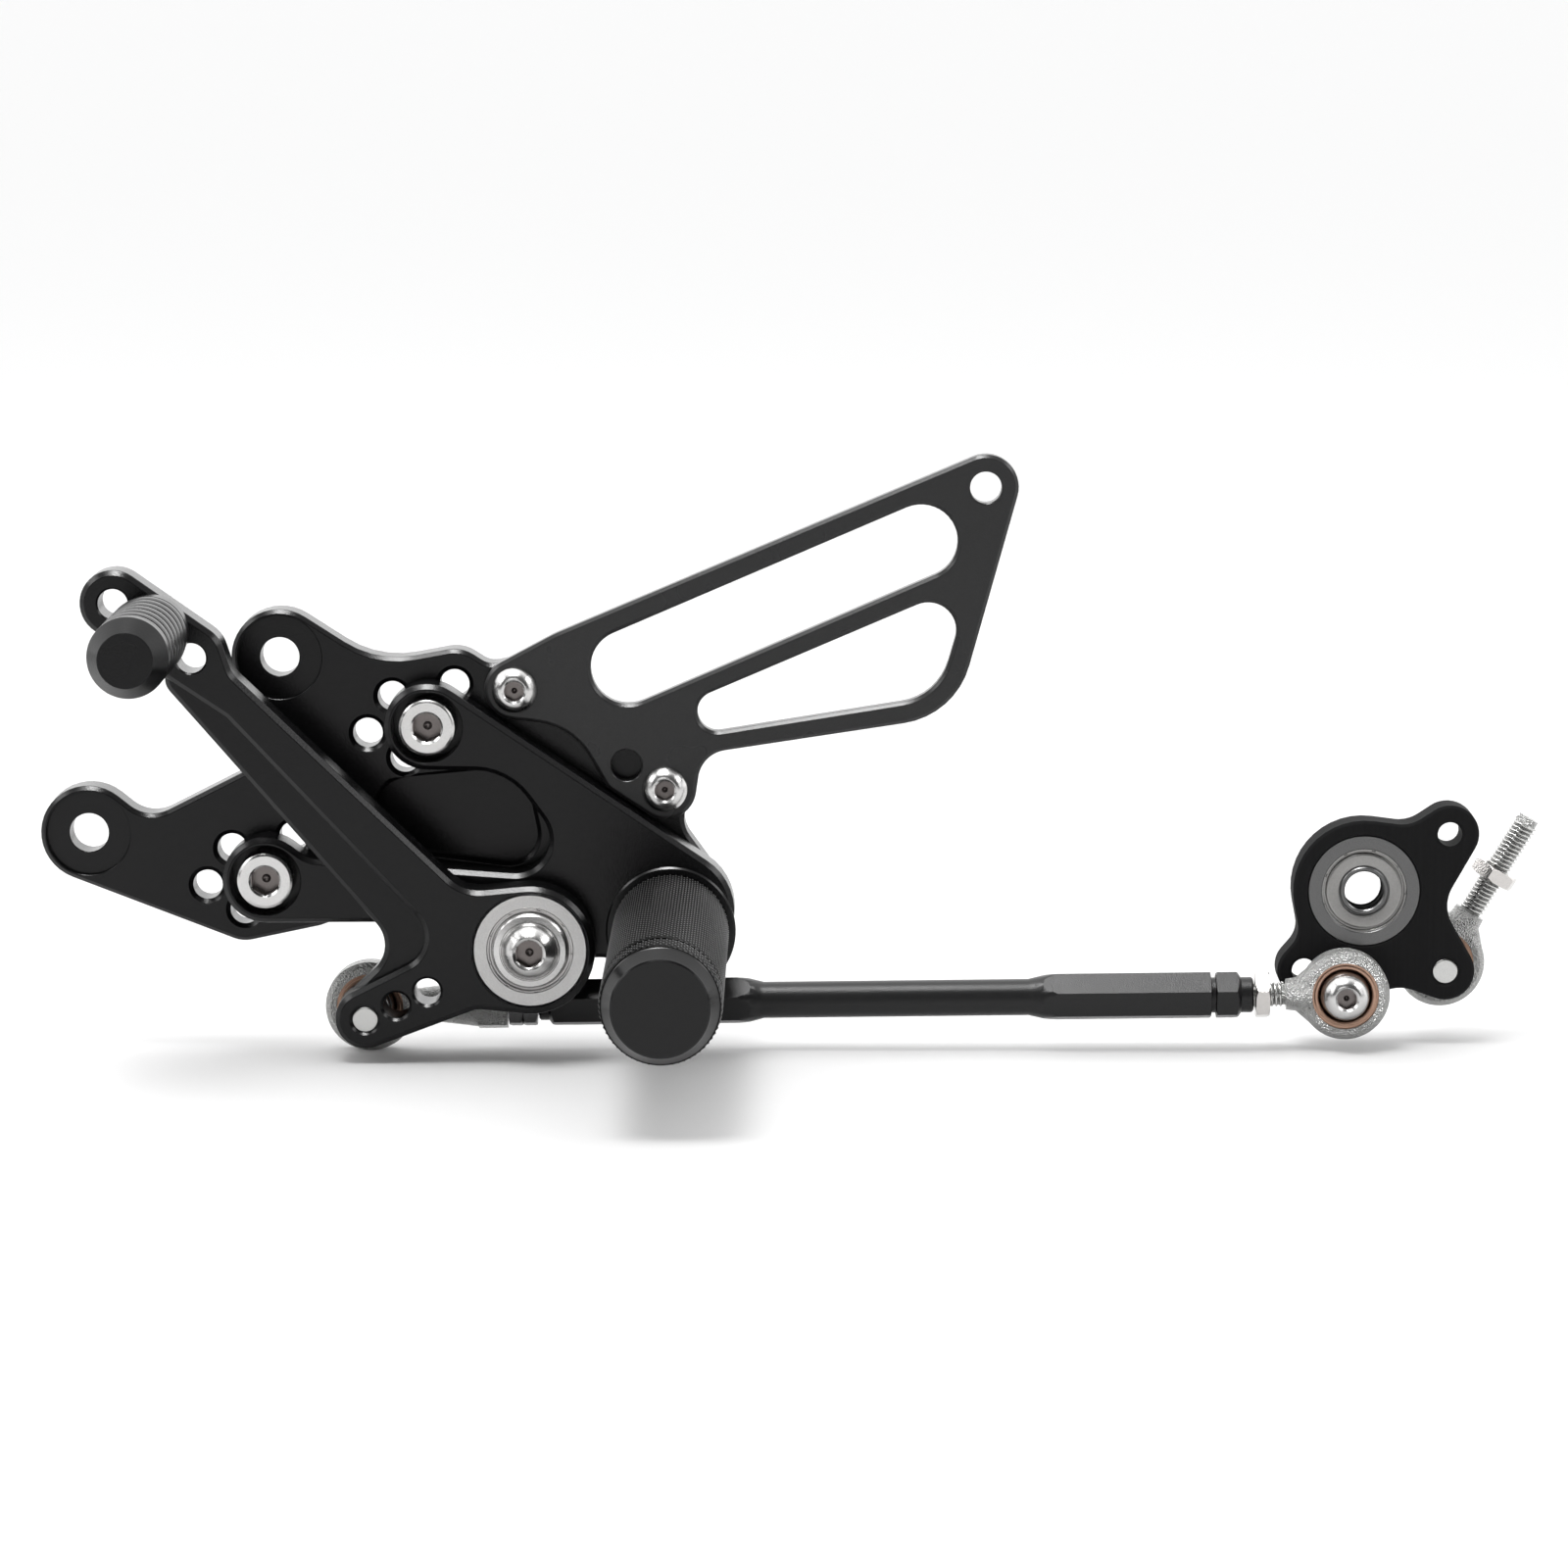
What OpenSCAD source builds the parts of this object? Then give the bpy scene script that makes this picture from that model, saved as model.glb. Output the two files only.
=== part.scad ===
// Left-hand rear set for a motorcycle: a footrest plate with a shift lever,
// its linkage rod and the relay plate that the rod works.
// X runs to the back of the bike, Y into the bike, Z up.
// The origin is the upper frame bore, on the face that meets the frame.

/* [Base plate] */
// Thickness of the base plate
base_t = 9; // [7:0.5:12]
// How far the lower frame bore lies ahead of the upper one
mount_dx = 44.6; // [40:0.1:50]
// How far the lower frame bore lies below the upper one
mount_dz = 41; // [37:0.1:45]
// Diameter of each frame bore
mount_d = 9; // [8:0.1:10.5]
// Diameter of the spot face round each frame bore
spot_d = 19.4; // [15:0.1:20]
// Depth of the spot face
spot_depth = 1.5; // [0.5:0.1:3]
// Radius of the lugs round the frame bores
mount_lug_r = 11.05; // [10.5:0.05:11.6]
// Spacing of the threaded adjuster holes
grid_pitch = 10.3; // [9.6:0.1:10.8]
// Slope of the adjuster grid below the horizontal
grid_angle = 34; // [30:1:38]
// Depth of the lightening pocket in the front face
pocket_depth = 2.5; // [1:0.1:4]

/* [Peg plate] */
// Thickness of the peg plate
peg_plate_t = 10; // [8:0.5:12]
// Upper bolt, measured back from the origin
bolt_up_x = 34.4; // [33:0.1:35.5]
// Upper bolt, measured down from the origin
bolt_up_drop = 14.7; // [13.5:0.1:16]
// Lower bolt, measured ahead of the origin
bolt_low_x = 3; // [2:0.1:4]
// Lower bolt, measured down from the origin
bolt_low_drop = 50.2; // [49:0.1:51]
// Radius of the lugs round the two bolts
bolt_lug_r = 9.9; // [9.2:0.1:10.2]
// Radius of the round end that carries the footpeg
peg_end_r = 14.2; // [13:0.1:14.8]

/* [Plate bolts] */
// Thread of the plate bolts
bolt_d = 8; // [6:0.5:8.5]
// Head diameter of the plate bolts
bolt_head_d = 13; // [12:0.1:14]
// Head height of the plate bolts
bolt_head_h = 8; // [6:0.5:8]
// Size of the hexagon socket across its flats
bolt_socket = 6; // [4:0.5:7]
// Gap between a bolt head and its counterbore
bolt_head_gap = 1.6; // [0.5:0.1:2]
// Metal left below the counterbore
bolt_seat_t = 2.6; // [2:0.1:4]

/* [Heel guard] */
// Thickness of the heel guard
guard_t = 4.5; // [3:0.5:6]
// Front guard screw, measured back from the origin
guard_a_x = 54.2; // [53.5:0.1:55]
// Front guard screw, measured down from the origin
guard_a_drop = 6.8; // [6.2:0.1:7.4]
// Rear guard screw, measured back from the origin
guard_b_x = 88.5; // [87.8:0.1:89.2]
// Rear guard screw, measured down from the origin
guard_b_drop = 29.7; // [29:0.1:30.4]
// Upper rear tip of the guard, measured back from the origin
guard_tip_x = 161.7; // [150:0.5:175]
// Upper rear tip of the guard, measured up from the origin
guard_tip_rise = 39.7; // [35:0.5:46]
// Diameter of the holes in the guard
guard_hole_d = 7.2; // [5:0.1:9]

/* [Small screws] */
// Thread of the small screws and rod ends
small_d = 6; // [5:0.5:6.5]
// Head diameter of a button head screw
button_d = 10.6; // [9.5:0.1:11]
// Head height of a button head screw
button_h = 3.3; // [2.5:0.1:4]
// Socket of the small screws across its flats
small_socket = 4; // [3:0.5:5]

/* [Shift lever] */
// Thickness of the shift lever
lever_t = 10; // [9:0.5:12]
// Gap between the peg plate and the shift lever
lever_gap = 1; // [0.5:0.1:3]
// Lever pivot, measured back from the origin
pivot_x = 58.1; // [57:0.1:59]
// Lever pivot, measured down from the origin
pivot_drop = 64.4; // [63.5:0.1:65]
// Radius of the lever round its pivot
pivot_boss_r = 14.8; // [14.2:0.1:15.4]
// Front toe-peg hole, measured ahead of the origin
toe_x = 35.3; // [34:0.1:37]
// Front toe-peg hole, measured up from the origin
toe_rise = 15; // [13.5:0.1:16]
// Spacing of the toe-peg holes
toe_pitch = 10.65; // [10:0.05:11]
// Radius of the lever round the toe-peg holes
toe_lug_r = 7.6; // [7:0.1:8]
// Diameter of the toe-peg holes
toe_hole_d = 6.8; // [6.2:0.1:8]
// Set-back of the lower ledge from the lever's front face
ledge_step = 3; // [1:0.5:6]
// Spacing of the linkage holes
link_pitch = 7.85; // [7.3:0.05:8.3]

/* [Toe peg] */
// Length of the toe peg
toe_peg_l = 49; // [40:1:60]
// Diameter of the toe peg
toe_peg_d = 18; // [16:0.5:20]
// Number of grooves in the toe peg
toe_grooves = 7; // [4:1:9]
// Depth of each groove
toe_groove_depth = 0.9; // [0.4:0.1:1.4]

/* [Footpeg] */
// Length of the footpeg barrel with its end cap
footpeg_l = 89.5; // [75:0.5:110]
// Diameter of the footpeg
footpeg_d = 26.8; // [24:0.2:28]
// Diameter of the flange at the footpeg's root
footpeg_flange_d = 29.8; // [28:0.2:31]
// Thickness of that flange
footpeg_flange_t = 1.5; // [1:0.1:3]
// Length of the end cap
cap_l = 13; // [10:0.1:18]
// Width of the groove between barrel and end cap
cap_groove_w = 0.8; // [0.5:0.1:2]
// Footpeg axis, measured back from the origin
footpeg_x = 89.9; // [88.5:0.1:91]
// Footpeg axis, measured down from the origin
footpeg_drop = 61.6; // [60.5:0.1:62.5]

/* [Bearings] */
// Outer diameter of a bearing
bearing_od = 26; // [25:0.1:27]
// Bore of a bearing
bearing_id = 9; // [8.6:0.1:10]
// Width of a bearing
bearing_w = 8; // [7:0.1:8.2]
// Diameter of a bearing ball
ball_d = 4.5; // [4:0.1:4.6]
// Number of balls in a bearing
ball_count = 7; // [5:1:8]

/* [Linkage] */
// Distance between the two ball centres of the linkage
link_l = 224.7; // [218:0.5:235]
// Slope of the linkage rod, up to the back
link_tilt = 0.7; // [0:0.1:1.2]
// Rod layer, measured out from the mounting face to the rod axis
link_depth = 12; // [11.5:0.1:12.5]
// Size of the rod's hexagon across its flats
rod_hex = 10; // [8.8:0.1:10.2]
// Diameter of the rod's round middle
rod_d = 8.4; // [7.2:0.1:8.6]
// Outer diameter of a rod end
eye_d = 20.6; // [19:0.1:21]
// Width of a rod end's eye
eye_w = 7; // [6:0.1:7.5]
// Diameter of the ball in a rod end
eye_ball_d = 12.7; // [12.2:0.1:13]
// Width of the ball in a rod end
eye_ball_w = 9; // [8.5:0.1:9.5]
// Outer diameter of the bearing liner in a rod end
liner_d = 15.4; // [14.6:0.1:16]
// Length of a threaded rod end from its ball centre
eye_shank_l = 38.5; // [34:0.5:44]
// Length of the free stud from its ball centre
stud_shank_l = 39.5; // [34:0.5:46]
// Where the jam nut sits on the free stud, from its ball centre
stud_nut_x = 22.5; // [15:0.5:28]
// Length of the hollow rod end from its ball centre
socket_l = 31.6; // [28:0.1:31.8]
// Size of a jam nut across its flats
nut_hex = 10; // [9:0.1:11]
// Height of a jam nut
nut_h = 3.2; // [2.4:0.1:3.3]

/* [Relay plate] */
// Thickness of the relay plate
relay_t = 9; // [8.5:0.5:11]
// Relay bearing, measured back from the rear ball
relay_dx = 4.7; // [4:0.1:5.4]
// Relay bearing, measured up from the rear ball
relay_dz = 23.2; // [22.7:0.1:24]
// Radius of the relay plate round its bearing
relay_boss_r = 16.4; // [15.9:0.1:16.6]
// Diameter of the free holes in the relay plate
relay_hole_d = 5.6; // [5:0.1:6.4]
// Slope of the threaded stud above the horizontal
stud_angle = 59; // [50:1:70]

/* [Hidden] */

$fn = 64;
// Largest step between two points of an outline's arc, in degrees
arc_step = 9;
// Overshoot of a cut past the face it opens
over = 1;
// A turned profile passes this far outside a hexagon's corners
corner_gap = 0.1;
// Slip fit between a screw and its hole, on the radius
slip = 0.25;
// Running fit between pieces that turn in each other, on the radius
run = 0.05;
// Chamfer on bores and turned ends
edge = 0.8;
// Chamfer on the plate bolts' counterbores, whose lugs leave only a thin land
counterbore_lip = 0.2;
thread_r = small_d / 2;
tap_r = thread_r + 0.02;
bolt_r = bolt_d / 2;

// Faces of the stack, from the bike outwards
base_y = -base_t;
guard_y = base_y - guard_t;
peg_y = base_y - peg_plate_t;
lever_back_y = peg_y - lever_gap;
lever_y = lever_back_y - lever_t;
link_y = -link_depth;
relay_y = link_y + eye_ball_w / 2;
relay_back_y = relay_y + relay_t;
stud_y = relay_back_y + eye_ball_w / 2;

// Places of the holes and pivots, as [x, z]
upper_mount = [0, 0];
lower_mount = [-mount_dx, -mount_dz];
upper_bolt = [bolt_up_x, -bolt_up_drop];
lower_bolt = [-bolt_low_x, -bolt_low_drop];
guard_a = [guard_a_x, -guard_a_drop];
guard_b = [guard_b_x, -guard_b_drop];
guard_tip = [guard_tip_x, guard_tip_rise];
pivot = [pivot_x, -pivot_drop];
footpeg = [footpeg_x, -footpeg_drop];
toe_first = [-toe_x, toe_rise];
// Slope of the row of toe-peg holes
toe_slope = -35.2;
toe_row = [cos(toe_slope), sin(toe_slope)];
function toe_hole(i) = toe_first + i * toe_pitch * toe_row;
// Middle hole, where the toe peg is fitted
toe_used = toe_hole(1);
toe_last = toe_hole(2);
// Front ball of the linkage, seen from the lever pivot
front_ball = pivot + [-37.7, -16];
link_dir = [cos(link_tilt), sin(link_tilt)];
rear_ball = front_ball + link_l * link_dir;
// Slope of the row of linkage holes in the lever
link_row_slope = 24.5;
function link_hole(i) = front_ball
    + i * link_pitch * [cos(link_row_slope), sin(link_row_slope)];
relay = rear_ball + [relay_dx, relay_dz];
relay_front_hole = rear_ball + [-8.9, 4.4];
relay_top_hole = relay + [19.6, 13.2];
stud_ball = relay + [19.1, -18.9];

// Threaded holes of one adjuster group, counted from its bolt
grid_a = grid_pitch * [cos(grid_angle), -sin(grid_angle)];
grid_b = grid_pitch * [sin(grid_angle), cos(grid_angle)];
function grid_hole(bolt, i, j) = bolt + (i - 1) * grid_a + (j - 1) * grid_b;
GRID = [[0, 0], [1, 0], [0, 1], [1, 2]];

// Bearing sections
ball_circle_r = (bearing_od + bearing_id) / 4;
race_r = ball_d / 2 + 0.15;
outer_land_r = bearing_od / 2 - 3.3;
inner_land_r = bearing_id / 2 + 2.1;
// Narrow face of the inner ring, inside the shields
inner_face_r = bearing_id / 2 + 1.1;
shield_t = 0.4;
shield_set = 0.35;
shield_gap = 0.15;
bearing_front_set = 0.5;
seat_lip_r = bearing_od / 2 - 1.4;

// Head of the pivot screw: its flange leaves the bearing's outer ring free
pivot_flange_gap = 4.4;
pivot_head_h = 4.9;
pivot_socket = 5.6;

// Rod end sections
eye_ball_r = eye_ball_d / 2;
eye_neck_r = 5.4;
// Rounding of an eye's rims
eye_rim = 1.2;
// Cone between an eye and its threaded shank
shank_cone_x = 7;
shank_cone_l = 6.5;
shank_cone_r = [4.4, 3.6];
// Hollow rod end: where its cone starts, and its hexagon
socket_cone_x = 10;
socket_hex = 11;
socket_hex_l = 6.7;

// Stations along the linkage rod, from the front ball
front_nut_x = socket_l + 0.4;
nut_gap = 0.1;
rod_start = front_nut_x + 2 * nut_h + nut_gap + 0.4;
rod_neck = 2.3;
rod_front_hex = 43;
rod_front_taper = 6.6;
rod_rear_hex = 35;
rod_rear_taper = 7.2;
rod_collar = 5.6;
rod_nose = 4;
rod_end = link_l - 21.1;
rear_nut_x = rod_end + 0.5;
rod_turn = 12.5;
front_stud_l = 40;
front_stud_x = 15;

// Outline helpers: a plate's edge is a belt round circles [x, z, r],
// anticlockwise seen from the front, with r below 0 for a hollow
function bearing_of(v) = atan2(v.y, v.x);
function at(c) = [c.x, c.y];
function round_it(p, r) = [p.x, p.y, r];
function leave(a, b) = let (v = at(b) - at(a))
    bearing_of(v) - acos(max(-1, min(1, (a[2] - b[2]) / norm(v))));
function wrap(a) = a - 360 * floor(a / 360);
function sweep(from, to, r) = r >= 0 ? wrap(to - from) : wrap(to - from) - 360;
function arc(c, from, turn) = let (n = max(1, ceil(abs(turn) / arc_step)))
    [for (i = [0:n]) at(c) + c[2] * [cos(from + turn * i / n), sin(from + turn * i / n)]];
function belt(c) = [for (i = [0:len(c) - 1])
    let (last = c[(i + len(c) - 1) % len(c)], next = c[(i + 1) % len(c)],
        from = leave(last, c[i]), to = leave(c[i], next))
    each arc(c[i], from, sweep(from, to, c[i][2]))];

// Plate of the given outline between two Y faces
module slab(outline, front, back) {
    translate([0, back, 0]) rotate([90, 0, 0]) linear_extrude(back - front) polygon(outline);
}

// Pin along Y at a place, between two Y faces
module pin(place, r, front, back) {
    translate([place.x, back, place.y]) rotate([90, 0, 0]) cylinder(r = r, h = back - front);
}

// Cone along Y, its front radius given first
module taper(place, r_front, r_back, front, back) {
    translate([place.x, back, place.y]) rotate([90, 0, 0])
        cylinder(r1 = r_back, r2 = r_front, h = back - front);
}

// Hexagon along Y, size across its flats
module hexagon(place, flats, front, back) {
    translate([place.x, back, place.y]) rotate([90, 0, 0])
        cylinder(r = flats / 2 / cos(30), h = back - front, $fn = 6);
}

// Hole through a plate, with a chamfer at both faces
module bore(place, r, front, back, lip = edge) {
    pin(place, r, front - over, back + over);
    taper(place, r + lip + over, r, front - over, front + lip);
    taper(place, r, r + lip + over, back - lip, back + over);
}

module ring(place, r_out, r_in, front, back) {
    difference() {
        pin(place, r_out, front, back);
        pin(place, r_in, front - over, back + over);
    }
}

// Solid turned about a Y axis, its profile given as [radius, distance out from a face]
module turned(place, face, profile) {
    translate([place.x, face, place.y]) rotate([90, 0, 0]) rotate_extrude() polygon(profile);
}

module base_plate() {
    outline = belt([
        round_it(lower_mount, mount_lug_r),
        round_it(grid_hole(lower_bolt, 1, 0) + [-0.1, 0], 7.4),
        round_it(lower_bolt + [10.1, -7.3], 5.3),
        round_it(lower_bolt + [25, -21.8], -13.5),
        round_it(footpeg + [-1, 4.4], peg_end_r - 0.8),
        round_it(guard_b + [11, -7.8], -6.7),
        round_it(guard_b, 6.5),
        round_it(guard_a, 6.2),
        round_it(guard_a + [-5, 10.4], -5),
        round_it(grid_hole(upper_bolt, 1, 2), 8.1),
        round_it(upper_mount + [27, 22.3], -22.3),
        round_it(upper_mount, mount_lug_r),
        round_it(upper_mount + [-8, -18.5], -7),
        round_it(lower_mount + [14.8, 12.8], -8.2)]);
    pocket = belt([
        round_it(upper_bolt + [-4.4, -21.5], 8.5),
        round_it(pivot + [-5.6, 23.3], 6.5),
        round_it(upper_bolt + [17.5, -16], 5)]);
    color("#26272a") difference() {
        slab(outline, base_y, 0);
        slab(pocket, base_y - over, base_y + pocket_depth);
        for (m = [upper_mount, lower_mount]) {
            pin(m, spot_d / 2, base_y - over, base_y + spot_depth);
            pin(m, mount_d / 2, base_y - over, over);
        }
        for (b = [upper_bolt, lower_bolt]) {
            pin(b, bolt_r + run, base_y - over, over);
            for (g = GRID) bore(grid_hole(b, g[0], g[1]), bolt_r - 0.6, base_y, 0, 1);
        }
        for (g = [guard_a, guard_b]) pin(g, tap_r, base_y - over, over);
    }
}

module peg_plate() {
    outline = belt([
        round_it(lower_bolt, bolt_lug_r),
        round_it(lower_bolt + [25, -21.8], -12),
        round_it(pivot, 7.2),
        round_it(pivot + [15.4, -12.1], -8.3),
        round_it(footpeg + [0.4, 4.2], peg_end_r),
        round_it(upper_bolt, bolt_lug_r),
        round_it(upper_bolt + [10.6, -24.8], -14.8),
        round_it(upper_bolt + [19.8, -25.9], -8),
        round_it(lower_bolt + [12.6, 12.2], -7.4)]);
    color("#2a2b2e") difference() {
        slab(outline, peg_y, base_y);
        for (b = [upper_bolt, lower_bolt]) {
            pin(b, bolt_r + slip, peg_y - over, base_y + over);
            pin(b, bolt_head_d / 2 + bolt_head_gap, peg_y - over, base_y - bolt_seat_t);
            taper(b, bolt_head_d / 2 + bolt_head_gap + counterbore_lip + over,
                bolt_head_d / 2 + bolt_head_gap, peg_y - over, peg_y + counterbore_lip);
        }
        pin(pivot, bolt_r + run, peg_y - over, base_y + over);
        pin(footpeg, bolt_r + run, peg_y - over, base_y + over);
    }
}

module heel_guard() {
    outline = belt([
        round_it(guard_a, 7),
        round_it(guard_a + [3.3, -23.2], -15.7),
        round_it(guard_b + [-10.3, 3], 4),
        round_it(guard_b, 7.2),
        round_it(guard_b + [14.8, 1.7], -7.2),
        round_it(guard_tip + [-21.2, -36.2], 18.3),
        round_it(guard_tip, 7.5),
        round_it(guard_a + [13.8, 3.3], 10.6)]);
    upper_window = belt([
        round_it(guard_a + [25.9, 5.2], 8.5),
        round_it(guard_tip + [-14.7, -12.3], 8.35)]);
    lower_window = belt([
        round_it(guard_b + [12.1, 17.9], 4.6),
        round_it(guard_tip + [-21.1, -36.3], 13.2),
        round_it(guard_tip + [-13, -32.8], 6.4)]);
    color("#3a3b3e") difference() {
        slab(outline, guard_y, base_y);
        slab(upper_window, guard_y - over, base_y + over);
        slab(lower_window, guard_y - over, base_y + over);
        for (g = [guard_a, guard_b]) pin(g, thread_r + slip, guard_y - over, base_y + over);
        pin(guard_b + [-8.8, 5.4], guard_hole_d / 2, guard_y - over, base_y + over);
        pin(guard_tip, guard_hole_d / 2, guard_y - over, base_y + over);
    }
}

module plate_bolts() {
    seat = base_y - bolt_seat_t;
    color("#a9aaac") for (b = [upper_bolt, lower_bolt]) difference() {
        union() {
            pin(b, bolt_r, seat - over, -edge);
            pin(b, bolt_head_d / 2, seat - bolt_head_h + edge, seat);
            taper(b, bolt_head_d / 2 - edge, bolt_head_d / 2, seat - bolt_head_h,
                seat - bolt_head_h + edge);
        }
        hexagon(b, bolt_socket, seat - bolt_head_h - over, seat - bolt_head_h / 2);
    }
}

// Domed button head with its socket; its seat face is at Y = face
module button_screw(place, face, tip) {
    difference() {
        union() {
            pin(place, thread_r, face - over / 2, tip);
            turned(place, face, [[0, 0], [button_d / 2, 0], [button_d / 2, 0.5],
                [button_d * 0.45, button_h * 0.5], [button_d * 0.36, button_h * 0.82],
                [button_d * 0.28, button_h], [0, button_h]]);
        }
        hexagon(place, small_socket, face - button_h - over, face - button_h / 3);
    }
}

module guard_screws() {
    color("#b4b5b7") for (g = [guard_a, guard_b]) button_screw(g, guard_y, -edge);
}

// Collar that holds the lever bearing off the peg plate
module pivot_bush() {
    color("#8d8e90") ring(pivot, inner_face_r, bolt_r + slip,
        lever_y + bearing_front_set + bearing_w, peg_y);
}

// Shoulder screw: its shoulder fills the bearing's bore
module pivot_screw() {
    face = lever_y + bearing_front_set;
    r = bearing_od / 2 - pivot_flange_gap;
    h = pivot_head_h;
    color("#b9babc") difference() {
        union() {
            pin(pivot, bolt_r, face - over, base_y - edge);
            pin(pivot, bearing_id / 2 - 0.01, face - over, face + bearing_w);
            turned(pivot, face, [[0, 0], [r, 0], [r, 0.7], [r - 1.7, 1.5], [r - 2.2, 3],
                [r - 3.4, h - 0.6], [r - 4.7, h], [0, h]]);
        }
        hexagon(pivot, pivot_socket, face - h - over, face - h * 0.37);
    }
}

// Bearing pieces, about a place and from the front face of the bearing
module bearing_race(place, front) {
    translate([place.x, front + bearing_w / 2, place.y]) rotate([90, 0, 0]) rotate_extrude()
        translate([ball_circle_r, 0]) circle(r = race_r, $fn = 48);
}

module outer_ring(place, front) {
    difference() {
        ring(place, bearing_od / 2, outer_land_r, front, front + bearing_w);
        bearing_race(place, front);
    }
}

module inner_ring(place, front) {
    step = shield_set + shield_t + shield_gap;
    difference() {
        union() {
            ring(place, inner_face_r, bearing_id / 2, front, front + bearing_w);
            ring(place, inner_land_r, bearing_id / 2, front + step, front + bearing_w - step);
        }
        bearing_race(place, front);
    }
}

module shields(place, front) {
    for (f = [front + shield_set, front + bearing_w - shield_set - shield_t])
        ring(place, outer_land_r, inner_face_r + 2 * shield_gap, f, f + shield_t);
}

module balls(place, front) {
    for (i = [0:ball_count - 1]) let (a = 360 * i / ball_count)
        translate([place.x + ball_circle_r * cos(a), front + bearing_w / 2,
            place.y + ball_circle_r * sin(a)]) sphere(d = ball_d, $fn = 32);
}

module cage(place, front) {
    mid = front + bearing_w / 2;
    difference() {
        ring(place, ball_circle_r + 0.7, ball_circle_r - 0.7, mid - 2.9, mid + 2.9);
        for (i = [0:ball_count - 1]) let (a = 360 * i / ball_count)
            translate([place.x + ball_circle_r * cos(a), mid, place.y + ball_circle_r * sin(a)])
                rotate([0, -a, 0]) rotate([0, 90, 0])
                    cylinder(r = ball_d / 2 + 0.1, h = 4, center = true);
    }
}

lever_bearing_y = lever_y + bearing_front_set;
relay_bearing_y = relay_y + 0.3;

module lever_bearing_inner_ring() {
    color("#9c9c9e") inner_ring(pivot, lever_bearing_y);
}
module lever_bearing_outer_ring() {
    color("#97989a") outer_ring(pivot, lever_bearing_y);
}
module lever_bearing_shields() {
    color("#bcbdbf") shields(pivot, lever_bearing_y);
}
module lever_bearing_balls() {
    color("#d0d0d2") balls(pivot, lever_bearing_y);
}
module lever_bearing_cage() {
    color("#a5a190") cage(pivot, lever_bearing_y);
}

module footpeg_flange() {
    color("#1f2022") ring(footpeg, footpeg_flange_d / 2, bolt_r + slip,
        peg_y - footpeg_flange_t, peg_y);
}

barrel_y = peg_y - footpeg_flange_t;
cap_y = barrel_y - footpeg_l + cap_l;
// Recess in the barrel's end that the cap's spigot fills
spigot_r = 9;
spigot_l = 5;
// Room in the barrel for the stud's head
stud_head_room = 9;
// Length of the cap's smooth front, past its knurled band
cap_front_l = 4;

module footpeg_barrel() {
    color("#303134") difference() {
        pin(footpeg, footpeg_d / 2, cap_y + cap_groove_w / 2, barrel_y);
        pin(footpeg, spigot_r, cap_y - over, cap_y + cap_groove_w / 2 + spigot_l + stud_head_room);
        pin(footpeg, bolt_r + slip, cap_y - over, barrel_y + over);
    }
}

module footpeg_end_cap() {
    length = cap_l - cap_groove_w / 2;
    r = footpeg_d / 2;
    rim = length - cap_front_l;
    color("#29292b") translate([0, -cap_groove_w / 2, 0])
        turned(footpeg, cap_y, [[0, -spigot_l], [spigot_r - run, -spigot_l], [spigot_r - run, 0],
            [r, 0], [r, rim], [r - 0.8, rim], [r - 2.6, length - 0.4], [r - 3, length], [0, length]]);
}

module footpeg_stud() {
    seat = cap_y + cap_groove_w / 2 + spigot_l + stud_head_room;
    color("#a0a1a3") difference() {
        union() {
            pin(footpeg, bolt_r, seat - over, base_y - edge);
            pin(footpeg, bolt_head_d / 2, seat - bolt_head_h, seat);
        }
        hexagon(footpeg, bolt_socket, seat - bolt_head_h - over, seat - bolt_head_h / 2);
    }
}

module shift_lever() {
    rib = belt([
        round_it(toe_first, toe_lug_r),
        round_it(toe_last + [4.4, -17.4], -5),
        round_it(pivot + [-31.3, 3.1], -7.35),
        round_it(front_ball, 6.85),
        round_it(pivot + [-11.6, -18.8], -5),
        round_it(pivot, pivot_boss_r),
        round_it(pivot + [-11.4, 23.6], -9.8),
        round_it(toe_last + [14.4, -0.3], -6),
        round_it(toe_last, toe_lug_r)]);
    ledge = belt([
        round_it(toe_last + [-2.1, -5.3], 4.3),
        round_it(pivot + [-40.9, 0.6], -7.6),
        round_it(front_ball, 6.5),
        round_it(pivot + [-18, 0], 0.5),
        round_it(toe_last + [10, -10], 0.5)]);
    color("#2b2c2f") difference() {
        union() {
            slab(rib, lever_y, lever_back_y);
            slab(ledge, lever_y + ledge_step, lever_back_y);
        }
        pin(pivot, bearing_od / 2, lever_y - over, lever_bearing_y + bearing_w);
        taper(pivot, bearing_od / 2 + 0.4 + over, bearing_od / 2, lever_y - over, lever_y + 0.4);
        pin(pivot, seat_lip_r, lever_y - over, lever_back_y + over);
        bore(toe_first, toe_hole_d / 2, lever_y, lever_back_y, 0.4);
        bore(toe_last, toe_hole_d / 2, lever_y, lever_back_y, 0.4);
        pin(toe_used, thread_r + slip, lever_y - over, lever_back_y + over);
        for (i = [0:2]) bore(link_hole(i), tap_r, lever_y, lever_back_y, 0.6);
    }
}

module toe_peg() {
    r = toe_peg_d / 2;
    root_l = 6;
    chamfer = 5;
    pitch = (toe_peg_l - root_l - chamfer - 1) / toe_grooves;
    grooves = [for (i = [0:toe_grooves - 1]) let (s = root_l + i * pitch)
        each [[r, s], [r - toe_groove_depth, s + pitch * 0.2],
            [r - toe_groove_depth, s + pitch * 0.35], [r, s + pitch * 0.55]]];
    color("#2d2e31") difference() {
        turned(toe_used, lever_y, concat([[0, 0], [r - 0.6, 0]], [[r - 0.6, root_l - 0.6]],
            grooves, [[r, toe_peg_l - chamfer], [r - 2.9, toe_peg_l], [0, toe_peg_l]]));
        pin(toe_used, tap_r, lever_y - 22, lever_y + over);
    }
}

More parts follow.
